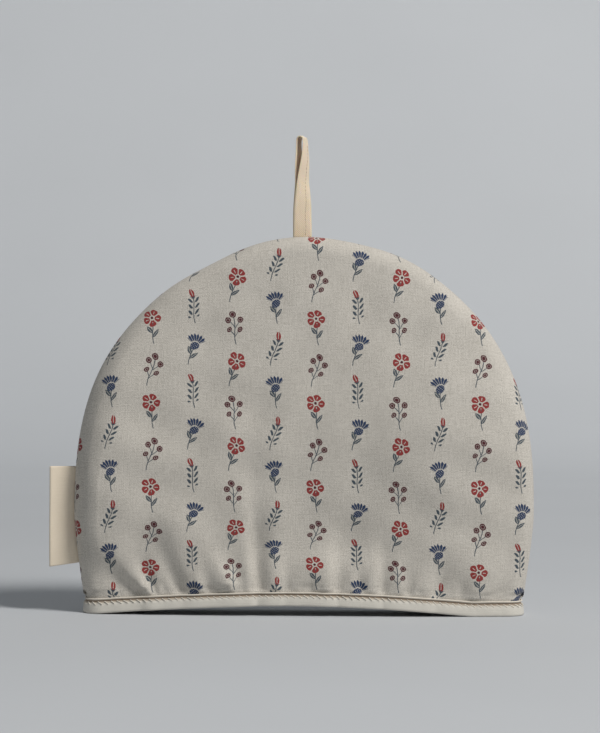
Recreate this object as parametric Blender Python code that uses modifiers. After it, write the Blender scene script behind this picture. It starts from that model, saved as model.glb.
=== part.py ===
"""A padded tea cosy that stands on its bound hem: two dome panels, binding, hanging loop and label.

Metres, +Z up, the front faces -Y. The origin is the middle of the bounding box's bottom.
"""

import math
from collections import namedtuple

import bmesh
import bpy
import numpy as np

# Dome outline, seen from the front: straight-ish sides below the shoulder, a superellipse above it.
HALF_WIDTH = 0.1712
SHOULDER_Z = 0.0682
CROWN_Z = 0.2784
HEM_NARROWING = 0.0084
NARROWING_POWER = 1.25
WIDTH_POWER = 1.95
RISE_POWER = 2.53

# Depth of a panel in front of the seam plane.
SEAM_HALF_GAP = 0.00015
SEAM_PLY = 0.0006
EDGE_RADIUS = 0.005
EDGE_CENTRE = 0.0037
PANEL_CROWN = 0.0215
PANEL_CROWN_POWER = 2.2
PANEL_THICKNESS = 0.009

# The lower edge of both panels, pressed together inside the binding.
BINDING_HEIGHT = 0.0112
BINDING_FLOOR = 0.0012
PIECE_GAP = 0.0003
PATCH_FOOT = BINDING_HEIGHT + 0.0035
HEM_PRESS = 0.0019
HEM_THICKNESS = 0.0046
HEM_TUCK = 0.002
HEM_FOLD_SHARE = 0.35
INNER_FOLD_SHARE = 0.6
HOLLOW_TIP_INSET = 0.0036

# Hanging loop: one tape, both ends in the crown seam, turned about its own height.
LOOP_WIDTH = 0.0138
LOOP_THICKNESS = 0.0012
LOOP_HEIGHT = 0.0755
LOOP_LEGS_APART_FOOT = 0.0017
LOOP_LEGS_APART_TOP = 0.0071
LOOP_TURN = math.radians(68)
LOOP_TURN_START = 0.010
LOOP_TURN_END = 0.060
LOOP_SPREAD_START = 0.012
LOOP_SPREAD_END = 0.054
LOOP_SINK = 0.0006
LOOP_LEG_STEPS = 18
LOOP_ARCH_STEPS = 8

# Side label: a ribbon folded once, both ends in the left side seam.
LABEL_REACH = 0.1890
LABEL_TOP_Z = 0.1072
LABEL_FOOT_Z = 0.0321
LABEL_FOOT_RISE = 0.0032
LABEL_PLY = 0.001
LABEL_FOLD_RADIUS = 0.0007
LABEL_BOW = 0.0016
LABEL_SINK = 0.0007
LABEL_ROWS = 8
LABEL_FACE_STEPS = 4
LABEL_FOLD_STEPS = 4

BODY_SHIFT = (LABEL_REACH + LABEL_PLY / 2 - HALF_WIDTH) / 2

# Grid of a panel, as levels from 0 (middle of the hem) to RIM_START; the rim levels follow.
RIM_START = 0.9
SIDE_STEPS = 18
UP_LEVELS = (0.035, 0.075, 0.12, 0.17, 0.225, 0.285, 0.35, 0.42, 0.495, 0.575, 0.655, 0.735, 0.82, RIM_START)
RimLevel = namedtuple("RimLevel", "level outer_inset inner_inset")
RIM_LEVELS = (
    RimLevel(0.92, 0.0105, 0.0110),
    RimLevel(0.94, 0.0060, 0.0075),
    RimLevel(0.96, 0.0028, 0.0052),
    RimLevel(0.975, 0.0009, 0.0036),
    RimLevel(0.99, 0.0, 0.0024),
    RimLevel(1.0, 0.0015, 0.0015),
)

# Uneven spots of the outline: where across the dome, how far out, how wide.
OutlineSpot = namedtuple("OutlineSpot", "x out spread")
OUTLINE_SPOTS = (
    OutlineSpot(-0.078, -0.0016, 0.034),
    OutlineSpot(0.072, 0.0010, 0.034),
)

# Folds: a soft trough from its foot at the hem to its head, or a ridge where depth is negative.
Fold = namedtuple("Fold", "foot_x foot_z head_x head_z depth half_width")
FRONT_FOLDS = (
    Fold(-0.1295, 0.019, -0.1570, 0.048, 0.0022, 0.0055),
    Fold(-0.1040, 0.012, -0.1215, 0.052, 0.0020, 0.0045),
    Fold(-0.0910, 0.012, -0.1225, 0.095, 0.0046, 0.0080),
    Fold(-0.0700, 0.012, -0.0725, 0.042, 0.0022, 0.0042),
    Fold(-0.0335, 0.012, -0.0365, 0.124, 0.0040, 0.0070),
    Fold(-0.0025, 0.012, -0.0050, 0.058, 0.0016, 0.0085),
    Fold(0.0325, 0.012, 0.0350, 0.052, 0.0016, 0.0070),
    Fold(0.0585, 0.012, 0.0465, 0.083, 0.0027, 0.0070),
    Fold(0.0790, 0.012, 0.0795, 0.036, 0.0013, 0.0045),
    Fold(0.1000, 0.012, 0.1070, 0.070, 0.0026, 0.0070),
    Fold(0.1130, 0.014, 0.1640, 0.040, -0.0022, 0.0060),
)
BACK_FOLDS = (
    Fold(-0.1240, 0.014, -0.1500, 0.052, 0.0022, 0.0060),
    Fold(-0.0930, 0.012, -0.0990, 0.070, 0.0024, 0.0065),
    Fold(-0.0560, 0.012, -0.0500, 0.098, 0.0034, 0.0075),
    Fold(-0.0180, 0.012, -0.0170, 0.048, 0.0016, 0.0070),
    Fold(0.0170, 0.012, 0.0240, 0.110, 0.0038, 0.0072),
    Fold(0.0600, 0.012, 0.0570, 0.060, 0.0020, 0.0065),
    Fold(0.0900, 0.012, 0.1060, 0.084, 0.0036, 0.0075),
    Fold(0.1280, 0.016, 0.1520, 0.050, 0.0020, 0.0060),
)
FOLD_WIDENING = 0.7
FLANK_SHARE = 0.3
FLANK_WIDTH = 2.2

# Broad, shallow rises and dents of the padding.
Swell = namedtuple("Swell", "x z rise spread_x spread_z")
FRONT_SWELLS = (
    Swell(0.070, 0.090, -0.0026, 0.040, 0.046),
    Swell(0.108, 0.158, 0.0022, 0.040, 0.055),
    Swell(-0.085, 0.140, 0.0014, 0.045, 0.050),
)
BACK_SWELLS = (
    Swell(-0.060, 0.115, -0.0020, 0.045, 0.050),
    Swell(0.070, 0.150, 0.0018, 0.045, 0.055),
)

# Binding section. Outer wall: distance out from the panels' outer face; inner wall: distance into the hollow.
SectionPoint = namedtuple("SectionPoint", "off z")
OUTER_WALL = (
    SectionPoint(PIECE_GAP, BINDING_HEIGHT),
    SectionPoint(0.0014, BINDING_HEIGHT),
    SectionPoint(0.0019, BINDING_HEIGHT - 0.0010),
    SectionPoint(0.0012, BINDING_HEIGHT - 0.0023),
    SectionPoint(0.0023, BINDING_HEIGHT - 0.0047),
    SectionPoint(0.0023, 0.0025),
    SectionPoint(0.0012, 0.0),
)
INNER_WALL = (
    SectionPoint(0.0009, 0.0),
    SectionPoint(0.0015, 0.0030),
    SectionPoint(0.0013, BINDING_HEIGHT - 0.0008),
    SectionPoint(0.0004, BINDING_HEIGHT - 0.0008),
    SectionPoint(0.0004, BINDING_FLOOR),
)
GROOVE_FOOT = SectionPoint(PIECE_GAP, BINDING_FLOOR)
BINDING_NOSE = 0.0008

Finish = namedtuple("Finish", "name colour roughness")
PRINTED_COTTON = Finish("printed_cotton", (0.60, 0.55, 0.48, 1.0), 0.9)
BINDING_COTTON = Finish("binding_cotton", (0.64, 0.59, 0.50, 1.0), 0.9)
LOOP_TAPE = Finish("loop_tape", (0.72, 0.60, 0.44, 1.0), 0.9)
LABEL_RIBBON = Finish("label_ribbon", (0.70, 0.60, 0.46, 1.0), 0.85)


def smooth(value):
    share = min(max(value, 0.0), 1.0)
    return share * share * (3 - 2 * share)


def outline_half_width(z):
    """Half of the dome's width at a height below the shoulder."""
    drop = max(0.0, (SHOULDER_Z - z) / SHOULDER_Z)
    return HALF_WIDTH - HEM_NARROWING * drop**NARROWING_POWER


def dome_outline():
    """Points of the outline from the right hem corner over the crown to the left one, and their shares of its length."""
    side_z = np.linspace(PATCH_FOOT, SHOULDER_Z, 24, endpoint=False)
    turn = np.linspace(0, math.pi / 2, 240)
    x = np.concatenate([
        [outline_half_width(z) for z in side_z],
        HALF_WIDTH * np.abs(np.cos(turn)) ** (2 / WIDTH_POWER),
    ])
    x[-1] = 0.0
    z = np.concatenate([side_z, SHOULDER_Z + (CROWN_Z - SHOULDER_Z) * np.sin(turn) ** (2 / RISE_POWER)])
    x = np.concatenate([x, -x[-2::-1]])
    z = np.concatenate([z, z[-2::-1]])
    out = sum(spot.out * np.exp(-(((x - spot.x) / spot.spread) ** 2)) for spot in OUTLINE_SPOTS)
    out = out * np.clip((z - SHOULDER_Z) / SHOULDER_Z, 0, 1)
    length = np.hypot(x, z - PATCH_FOOT)
    x, z = x * (1 + out / length), PATCH_FOOT + (z - PATCH_FOOT) * (1 + out / length)
    run = np.concatenate([[0.0], np.cumsum(np.hypot(np.diff(x), np.diff(z)))])
    return x, z, run / run[-1]


OUTLINE_X, OUTLINE_Z, OUTLINE_SHARE = dome_outline()


def fold_rise(x, z, folds, swells):
    """How far the folds and swells lift the outer face at a point of the seam plane."""
    rise = 0.0
    for fold in folds:
        run_x, run_z = fold.head_x - fold.foot_x, fold.head_z - fold.foot_z
        length = math.hypot(run_x, run_z)
        along = ((x - fold.foot_x) * run_x + (z - fold.foot_z) * run_z) / length**2
        apart = ((x - fold.foot_x) * run_z - (z - fold.foot_z) * run_x) / length
        share = min(max(along, 0.0), 1.0)
        width = fold.half_width * (1 + FOLD_WIDENING * share)
        trough = math.exp(-((apart / width) ** 2))
        flanks = FLANK_SHARE * math.exp(-((apart / width / FLANK_WIDTH) ** 2))
        rise -= fold.depth * (1 - share**2) ** 2 * (trough - flanks)
    for swell in swells:
        rise += swell.rise * math.exp(-(((x - swell.x) / swell.spread_x) ** 2) - ((z - swell.z) / swell.spread_z) ** 2)
    return rise


def outer_depth(inset, reach):
    """Depth of the smooth outer face at a distance in from the outline, on a ray of this length."""
    roll = EDGE_RADIUS * math.sqrt(1 - (1 - min(inset / EDGE_RADIUS, 1.0)) ** 2)
    return EDGE_CENTRE + roll + PANEL_CROWN * (1 - (1 - inset / reach) ** PANEL_CROWN_POWER)


def pressed_depth(inset, reach):
    """Outer depth of the panel where the binding presses it."""
    depth = outer_depth(inset, reach)
    return depth - HEM_PRESS * min(1.0, depth / (EDGE_CENTRE + EDGE_RADIUS))


def inset_of(level, reach, layer):
    if level <= RIM_START:
        return (1 - level) * reach
    levels = [RIM_START] + [rim.level for rim in RIM_LEVELS]
    insets = [(1 - RIM_START) * reach] + [getattr(rim, layer + "_inset") for rim in RIM_LEVELS]
    return float(np.interp(level, levels, insets))


def panel_point(across, up, layer, folds, swells):
    """A point of a panel's outer or inner face above the binding, as x, depth and z."""
    level = max(abs(across), up)
    if level == 0:
        share = 0.5
    elif abs(across) >= up:
        share = up / (4 * level) if across > 0 else 1 - up / (4 * level)
    else:
        share = (2 * level - across) / (4 * level)
    edge_x = float(np.interp(share, OUTLINE_SHARE, OUTLINE_X))
    edge_z = float(np.interp(share, OUTLINE_SHARE, OUTLINE_Z))
    reach = math.hypot(edge_x, edge_z - PATCH_FOOT)
    inset = inset_of(level, reach, layer)
    x = edge_x * (1 - inset / reach)
    z = PATCH_FOOT + (edge_z - PATCH_FOOT) * (1 - inset / reach)
    if level == 1:
        return x, SEAM_HALF_GAP + (SEAM_PLY if layer == "outer" else 0.0), z
    rise = fold_rise(x, z, folds, swells) * smooth(inset / (2 * EDGE_RADIUS))
    depth = outer_depth(inset, reach)
    if layer == "outer":
        return x, depth + rise, z
    hollow = max(0.0, depth - PANEL_THICKNESS - SEAM_HALF_GAP)
    return x, SEAM_HALF_GAP + max(0.0, hollow + INNER_FOLD_SHARE * rise * smooth(hollow / 0.004)), z


def hem_reach():
    return outline_half_width(PATCH_FOOT)


def hem_x(level, layer):
    """Where a column of the panel's grid lies across the pressed hem."""
    reach = hem_reach()
    return math.copysign((reach - inset_of(abs(level), reach, layer)) * (1 - HEM_TUCK / reach), level)


def hem_outer_depth(x, folds):
    reach = hem_reach()
    inset = reach - abs(x) / (1 - HEM_TUCK / reach)
    rise = fold_rise(x, BINDING_HEIGHT, folds, ()) * smooth(inset / (2 * EDGE_RADIUS))
    return pressed_depth(max(inset, 0.0), reach) + HEM_FOLD_SHARE * rise


def hem_inner_depth(x):
    reach = hem_reach()
    inset = reach - abs(x) / (1 - HEM_TUCK / reach)
    return max(SEAM_HALF_GAP, pressed_depth(max(inset, 0.0), reach) - HEM_THICKNESS)


def hem_point(across, z, layer, folds):
    """A point of a panel's lower edge, inside the binding."""
    x = hem_x(across, layer)
    if abs(across) == 1:
        return x, SEAM_HALF_GAP + (SEAM_PLY if layer == "outer" else 0.0), z
    return x, hem_outer_depth(x, folds) if layer == "outer" else hem_inner_depth(x), z


def side_levels():
    half = [RIM_START * step / SIDE_STEPS for step in range(1, SIDE_STEPS + 1)] + [rim.level for rim in RIM_LEVELS]
    return [-level for level in reversed(half)] + [0.0] + half


def closed_mesh(name, shape):
    """The mesh of a closed shape, with its faces turned outwards."""
    bmesh.ops.recalc_face_normals(shape, faces=shape.faces[:])
    if shape.calc_volume(signed=True) < 0:
        bmesh.ops.reverse_faces(shape, faces=shape.faces[:])
    mesh = bpy.data.meshes.new(name)
    shape.to_mesh(mesh)
    shape.free()
    mesh.shade_smooth()
    return mesh


def add_piece(name, mesh, finish, collection):
    material = bpy.data.materials.new(finish.name)
    material.use_nodes = True
    shader = material.node_tree.nodes["Principled BSDF"]
    shader.inputs["Base Color"].default_value = finish.colour
    shader.inputs["Roughness"].default_value = finish.roughness
    shader.inputs["Metallic"].default_value = 0.0
    mesh.materials.append(material)
    piece = bpy.data.objects.new(name, mesh)
    piece.location.x = BODY_SHIFT
    collection.objects.link(piece)
    return piece


def padded_panel(name, side, folds, swells, collection):
    """A grid, thickened to a slab, whose two faces are then moved to the panel's outer and inner face."""
    columns = side_levels()
    hem_rows = (BINDING_FLOOR + PIECE_GAP, 0.0062, BINDING_HEIGHT + 0.0005)
    up_levels = (0.0,) + UP_LEVELS + tuple(rim.level for rim in RIM_LEVELS)
    rows = len(hem_rows) + len(up_levels) - 1
    shape = bmesh.new()
    bmesh.ops.create_grid(shape, x_segments=len(columns) - 1, y_segments=rows, size=1)
    slab = bmesh.ops.extrude_face_region(shape, geom=shape.faces[:], use_keep_orig=True)
    inner = {vertex for vertex in slab["geom"] if isinstance(vertex, bmesh.types.BMVert)}
    for vertex in shape.verts:
        across = columns[round((vertex.co.x + 1) / 2 * (len(columns) - 1))]
        row = round((vertex.co.y + 1) / 2 * rows)
        layer = "inner" if vertex in inner else "outer"
        if row < len(hem_rows):
            x, depth, z = hem_point(across, hem_rows[row], layer, folds)
        else:
            x, depth, z = panel_point(across, up_levels[row - len(hem_rows)], layer, folds, swells)
        vertex.co = (x, side * depth, z)
    return add_piece(name, closed_mesh(name, shape), PRINTED_COTTON, collection)


def binding_rings():
    """Matching points round the hem: the panels' outer face with its outward normal, and the hollow's lens."""
    columns = [level for level in side_levels() if abs(level) < 1]
    outer, hollow = [], []
    tip = hem_reach() - HEM_TUCK
    shrink = (tip - HOLLOW_TIP_INSET) / tip
    for side, folds, order in ((-1, FRONT_FOLDS, columns), (1, BACK_FOLDS, columns[::-1])):
        for level in order:
            x = hem_x(level, "outer")
            outer.append((x, side * hem_outer_depth(x, folds)))
            hollow.append((x * shrink, side * hem_inner_depth(x * shrink)))
        end = 1 if side < 0 else -1
        outer.append((end * (tip + BINDING_NOSE), 0.0))
        hollow.append((end * tip * shrink, 0.0))
    outer, hollow = np.array(outer), np.array(hollow)
    run = np.roll(outer, -1, axis=0) - np.roll(outer, 1, axis=0)
    normal = np.stack([run[:, 1], -run[:, 0]], axis=1)
    return outer, normal / np.linalg.norm(normal, axis=1, keepdims=True), hollow


def hem_binding(collection):
    """The binding's section, lofted round the hem."""
    outer, normal, hollow = binding_rings()
    tip = np.abs(hollow[:, 0]).max()
    rings = []
    for point in OUTER_WALL:
        ring = outer + normal * point.off
        rings.append([(x, y, point.z) for x, y in ring])
    for point in INNER_WALL:
        ring = hollow * [1 - point.off / tip, 1.0]
        ring[:, 1] -= np.sign(ring[:, 1]) * point.off
        rings.append([(x, y, point.z) for x, y in ring])
    rings.append([(x, y, GROOVE_FOOT.z) for x, y in outer + normal * GROOVE_FOOT.off])
    shape = bmesh.new()
    loops = [[shape.verts.new(point) for point in ring] for ring in rings]
    around = len(outer)
    for one, other in zip(loops, loops[1:] + loops[:1]):
        for step in range(around):
            after = (step + 1) % around
            shape.faces.new((one[step], one[after], other[after], other[step]))
    return add_piece("hem_binding", closed_mesh("hem_binding", shape), BINDING_COTTON, collection)


def strip_piece(name, lines, thickness, finish, collection):
    """An open sheet through lines of points, given its thickness by Solidify."""
    shape = bmesh.new()
    rows = [[shape.verts.new(point) for point in line] for line in lines]
    for one, other in zip(rows, rows[1:]):
        for step in range(len(one) - 1):
            shape.faces.new((one[step], one[step + 1], other[step + 1], other[step]))
    mesh = bpy.data.meshes.new(name)
    shape.to_mesh(mesh)
    shape.free()
    mesh.shade_smooth()
    piece = add_piece(name, mesh, finish, collection)
    solidify = piece.modifiers.new("thickness", "SOLIDIFY")
    solidify.thickness = thickness
    solidify.offset = 0
    solidify.use_even_offset = True
    return piece


def hanging_loop(collection):
    """The tape up its front leg, over the arch and down its back leg, with its turn about the vertical."""
    arch = LOOP_LEGS_APART_TOP / 2
    arch_z = LOOP_HEIGHT - arch - LOOP_THICKNESS / 2
    path = []
    for step in range(LOOP_LEG_STEPS):
        height = arch_z * step / LOOP_LEG_STEPS
        opened = smooth((height - LOOP_SPREAD_START) / (LOOP_SPREAD_END - LOOP_SPREAD_START))
        apart = LOOP_LEGS_APART_FOOT + (LOOP_LEGS_APART_TOP - LOOP_LEGS_APART_FOOT) * opened
        path.append((apart / 2, height))
    over = [math.pi * step / LOOP_ARCH_STEPS for step in range(LOOP_ARCH_STEPS + 1)]
    path += [(arch * math.cos(angle), arch_z + arch * math.sin(angle)) for angle in over]
    path += [(-forward, height) for forward, height in reversed(path[:LOOP_LEG_STEPS])]
    lines = []
    for forward, height in path:
        turn = LOOP_TURN * smooth((height - LOOP_TURN_START) / (LOOP_TURN_END - LOOP_TURN_START))
        centre_x, centre_y = forward * math.sin(turn), -forward * math.cos(turn)
        z = CROWN_Z - LOOP_SINK + height
        lines.append([
            (centre_x + across * math.cos(turn), centre_y + across * math.sin(turn), z)
            for across in (-LOOP_WIDTH / 2, 0.0, LOOP_WIDTH / 2)
        ])
    return strip_piece("hanging_loop", lines, LOOP_THICKNESS, LOOP_TAPE, collection)


def label_edge_x(z):
    """Where the left side seam takes the label in."""
    left = OUTLINE_SHARE > 0.5
    order = np.argsort(OUTLINE_Z[left])
    return float(np.interp(z, OUTLINE_Z[left][order], OUTLINE_X[left][order])) + LABEL_SINK


def side_label(collection):
    """The ribbon's folded section, in rows from its foot to its top."""
    fold_x = -LABEL_REACH + LABEL_FOLD_RADIUS
    lines = []
    for row in range(LABEL_ROWS + 1):
        up = row / LABEL_ROWS
        line = []
        root_z = LABEL_FOOT_Z + LABEL_FOOT_RISE + (LABEL_TOP_Z - LABEL_FOOT_Z - LABEL_FOOT_RISE) * up
        fold_z = LABEL_FOOT_Z + (LABEL_TOP_Z - LABEL_FOOT_Z) * up
        root_x = label_edge_x(root_z)
        face = [step / LABEL_FACE_STEPS for step in range(LABEL_FACE_STEPS)]
        bend = [math.pi * step / LABEL_FOLD_STEPS for step in range(LABEL_FOLD_STEPS + 1)]
        section = [(share, -LABEL_FOLD_RADIUS, 0.0) for share in face]
        section += [(1.0, -LABEL_FOLD_RADIUS * math.cos(a), -LABEL_FOLD_RADIUS * math.sin(a)) for a in bend]
        section += [(share, LABEL_FOLD_RADIUS, 0.0) for share in reversed(face)]
        for share, y, past in section:
            x = root_x + (fold_x - root_x) * share + past
            bow = -LABEL_BOW * share**1.5 * (0.7 + 0.3 * math.cos(math.pi * (up - 0.5)))
            line.append((x, y + bow, root_z + (fold_z - root_z) * share))
        lines.append(line)
    return strip_piece("side_label", lines, LABEL_PLY, LABEL_RIBBON, collection)


def main():
    for old in list(bpy.data.objects):
        bpy.data.objects.remove(old, do_unlink=True)
    cosy = bpy.data.collections.new("tea_cosy")
    bpy.context.scene.collection.children.link(cosy)
    padded_panel("front_panel", -1, FRONT_FOLDS, FRONT_SWELLS, cosy)
    padded_panel("back_panel", 1, BACK_FOLDS, BACK_SWELLS, cosy)
    hem_binding(cosy)
    hanging_loop(cosy)
    side_label(cosy)


main()
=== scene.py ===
import math
from functools import partialmethod

import bpy
import numpy as np
from mathutils import Matrix, Vector


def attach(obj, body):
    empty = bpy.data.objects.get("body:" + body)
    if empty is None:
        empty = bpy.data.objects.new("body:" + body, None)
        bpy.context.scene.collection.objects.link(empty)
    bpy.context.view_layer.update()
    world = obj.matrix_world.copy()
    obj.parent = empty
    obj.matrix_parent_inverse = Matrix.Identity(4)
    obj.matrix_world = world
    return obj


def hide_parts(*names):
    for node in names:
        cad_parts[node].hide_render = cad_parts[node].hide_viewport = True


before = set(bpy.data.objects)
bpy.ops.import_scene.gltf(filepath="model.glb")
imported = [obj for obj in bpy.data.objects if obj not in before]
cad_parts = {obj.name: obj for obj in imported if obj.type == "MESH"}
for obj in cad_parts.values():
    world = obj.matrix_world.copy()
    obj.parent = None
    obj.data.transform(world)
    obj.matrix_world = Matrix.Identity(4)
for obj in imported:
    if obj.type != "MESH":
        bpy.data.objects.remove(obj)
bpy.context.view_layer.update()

print("stage 1: frame loaded")

# Everything is in metres. The front faces -Y, and the cosy stands on its bound hem at z = 0.
bodyShift = 0.0093      # how far the dome's middle lies right of the origin, because of the label
turn = 2 * math.pi
hair = 1e-6             # smaller than any step of the grids
seeds = {
    "frontPuckers": 5, "backPuckers": 6, "frontWadding": 21, "backWadding": 22,
    "binding": 11, "bindingStitches": 3, "tapeStitches": 4,
}

dome = {
    "halfWidth": 0.1715, "shoulderZ": 0.0723, "crownZ": 0.2813,
    "hemNarrowing": 0.0094, "narrowingPower": 1.25, "widthPower": 1.79, "risePower": 2.67,
    "sidePoints": 60, "archPoints": 600,
    "footZ": 0.0147,         # the free cloth starts here, above the binding
    "seamHalfGap": 0.00015, "seamPly": 0.0006,
    "edgeCentre": 0.0030,    # depth of the rolled edge's middle
    "edgeIn": 0.0125,        # how far in from the outline the roll reaches
    "edgeDepth": 0.0105,
    "foldFade": 1.6,         # folds fade out over this many widths of the roll
    "crown": 0.0125, "crownPower": 2.8,
    "hemDraw": 0.0028,       # the gathered hem pulls the panel in by this
    "hemDrawHeight": 0.040, "hemDrawPower": 1.5, "hemDrawFade": 3.0,
    "pressHeight": 0.0035,   # the cloth above the binding is free again after this
    "thickness": 0.009,
    "insideShare": 0.6,      # how much of the outer unevenness shows inside
    "insideEase": 0.004,
    "archRise": 0.0066,      # the hem's middle stands this much clear of the table
    "archMiddle": -0.010, "archLeft": 0.146, "archLeftPower": 1.64,
    "archRight": 0.135, "archRightPower": 1.1, "archFade": 0.080,
}
outlineSpots = [             # (where across, how far out, how wide)
    (-0.125, -0.0025, 0.030),
    (-0.075, -0.0035, 0.030),
    (0.075, 0.0023, 0.030),
    (0.125, 0.0006, 0.030),
]


def smooth(value):
    share = np.clip(value, 0.0, 1.0)
    return share * share * (3 - 2 * share)


def outlineHalfWidth(z):
    drop = np.maximum(0.0, (dome["shoulderZ"] - z) / dome["shoulderZ"])
    return dome["halfWidth"] - dome["hemNarrowing"] * drop ** dome["narrowingPower"]


def runAlong(*ways):
    # length along a line of points, starting at nought
    return np.concatenate([[0.0], np.cumsum(np.hypot(*(np.diff(way) for way in ways)))])


def domeOutline():
    sideZ = np.linspace(dome["footZ"], dome["shoulderZ"], dome["sidePoints"], endpoint=False)
    angle = np.linspace(0, math.pi / 2, dome["archPoints"])
    archX = dome["halfWidth"] * np.abs(np.cos(angle)) ** (2 / dome["widthPower"])
    archX[-1] = 0.0
    rise = dome["crownZ"] - dome["shoulderZ"]
    archZ = dome["shoulderZ"] + rise * np.sin(angle) ** (2 / dome["risePower"])
    x = np.concatenate([outlineHalfWidth(sideZ), archX])
    z = np.concatenate([sideZ, archZ])
    x = np.concatenate([x, -x[-2::-1]])
    z = np.concatenate([z, z[-2::-1]])
    out = sum(far * np.exp(-(((x - at) / wide) ** 2)) for at, far, wide in outlineSpots)
    out = out * np.clip((z - dome["shoulderZ"]) / dome["shoulderZ"], 0, 1)
    longer = 1 + out / np.hypot(x, z - dome["footZ"])
    x, z = x * longer, dome["footZ"] + (z - dome["footZ"]) * longer
    run = runAlong(x, z)
    return x, z, run / run[-1]


outlineX, outlineZ, outlineShare = domeOutline()

# (foot x, foot z, head x, head z, depth, width to the left, to the right); a negative depth is a ridge
frontFolds = [
    (-0.1190, 0.012, -0.1560, 0.046, 0.0022, 0.0042, 0.0036),
    (-0.0905, 0.012, -0.1175, 0.090, 0.0024, 0.0044, 0.0054),
    (-0.0340, 0.012, -0.0372, 0.135, 0.0066, 0.0038, 0.0062),
    (-0.0135, 0.012, -0.0115, 0.052, 0.0024, 0.0028, 0.0050),
    (0.0255, 0.012, 0.0290, 0.048, 0.0028, 0.0028, 0.0042),
    (0.0585, 0.012, 0.0600, 0.078, 0.0040, 0.0036, 0.0046),
    (0.0980, 0.012, 0.1060, 0.074, 0.0028, 0.0044, 0.0060),
    (-0.0800, 0.015, -0.1060, 0.102, -0.0023, 0.0058, 0.0090),
    (-0.1165, 0.015, -0.1460, 0.062, -0.0046, 0.0038, 0.0062),
    (-0.0530, 0.015, -0.0960, 0.095, -0.0044, 0.0130, 0.0062),
    (0.0165, 0.014, 0.0165, 0.094, -0.0034, 0.0105, 0.0046),
    (0.1310, 0.015, 0.1220, 0.070, -0.0040, 0.0120, 0.0120),
]
frontTucks = [
    (-0.1102, 0.012, -0.1235, 0.052, 0.0030, 0.0022, 0.0034),
    (-0.0700, 0.012, -0.0735, 0.044, 0.0028, 0.0024, 0.0040),
    (-0.0490, 0.012, -0.0510, 0.046, 0.0032, 0.0022, 0.0060),
    (0.0050, 0.012, 0.0056, 0.030, 0.0015, 0.0022, 0.0024),
    (0.0408, 0.012, 0.0416, 0.036, 0.0028, 0.0021, 0.0040),
    (0.0764, 0.012, 0.0770, 0.042, 0.0022, 0.0024, 0.0036),
    (0.1160, 0.012, 0.1190, 0.030, 0.0015, 0.0022, 0.0024),
    (0.1330, 0.012, 0.1640, 0.028, 0.0018, 0.0028, 0.0028),
]
backFolds = [
    (-0.1240, 0.014, -0.1500, 0.052, 0.0026, 0.0044, 0.0040),
    (-0.0930, 0.012, -0.0990, 0.070, 0.0030, 0.0048, 0.0038),
    (-0.0560, 0.012, -0.0500, 0.098, 0.0044, 0.0060, 0.0044),
    (-0.0180, 0.012, -0.0170, 0.048, 0.0020, 0.0044, 0.0044),
    (0.0170, 0.012, 0.0240, 0.110, 0.0050, 0.0044, 0.0058),
    (0.0600, 0.012, 0.0570, 0.060, 0.0024, 0.0044, 0.0038),
    (0.0900, 0.012, 0.1060, 0.084, 0.0046, 0.0040, 0.0062),
    (0.1280, 0.016, 0.1520, 0.050, 0.0022, 0.0044, 0.0044),
    (0.0640, 0.016, 0.0760, 0.080, -0.0036, 0.0088, 0.0060),
    (-0.0760, 0.016, -0.0790, 0.074, -0.0034, 0.0052, 0.0088),
]
backTucks = [
    (-0.1070, 0.012, -0.1110, 0.034, 0.0016, 0.0034, 0.0034),
    (-0.0360, 0.012, -0.0350, 0.036, 0.0018, 0.0032, 0.0034),
    (0.0400, 0.012, 0.0410, 0.038, 0.0017, 0.0034, 0.0032),
    (0.1120, 0.012, 0.1160, 0.033, 0.0016, 0.0034, 0.0034),
]
# (x, z, rise, spread across, spread up)
frontSwells = [
    (0.020, 0.058, -0.0058, 0.052, 0.050),
    (0.102, 0.143, 0.0074, 0.050, 0.054),
    (-0.135, 0.075, 0.0014, 0.050, 0.045),
    (-0.160, 0.104, 0.0074, 0.038, 0.086),
    (-0.134, 0.182, 0.0028, 0.036, 0.045),
]
backSwells = [
    (-0.060, 0.100, -0.0040, 0.048, 0.050),
    (0.062, 0.150, 0.0048, 0.050, 0.055),
    (-0.118, 0.110, 0.0026, 0.045, 0.050),
]
finePuckers = {
    "count": 46, "reach": 0.155, "jitter": 0.0022, "footZ": 0.0105,
    "depth": 0.0011, "halfWidth": 0.0016, "height": 0.017,
    "sway": 0.0012, "fan": 2.5,      # the outer ones lean outwards
    "tallRange": (0.45, 1.5), "deepRange": (0.25, 1.3), "wideRange": (0.7, 1.3),
}


def puckersAlongHem(seed):
    # small gathers between the main folds, all starting under the binding
    dice = np.random.default_rng(seed)
    rows = []
    places = np.linspace(-finePuckers["reach"], finePuckers["reach"], finePuckers["count"])
    footZ = finePuckers["footZ"]
    for place in places + dice.uniform(-finePuckers["jitter"], finePuckers["jitter"], len(places)):
        tall = finePuckers["height"] * dice.uniform(*finePuckers["tallRange"])
        lean = dice.normal(0, finePuckers["sway"]) + finePuckers["fan"] * place * tall
        deep = finePuckers["depth"] * dice.uniform(*finePuckers["deepRange"])
        wide = finePuckers["halfWidth"] * dice.uniform(*finePuckers["wideRange"])
        rows.append((place, footZ, place + lean, footZ + tall, deep, wide, wide))
    return rows


foldShape = {"widening": 1.6, "flankShare": 0.3, "flankWidth": 2.2, "bow": 0.5, "swellEase": 0.035}


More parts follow.
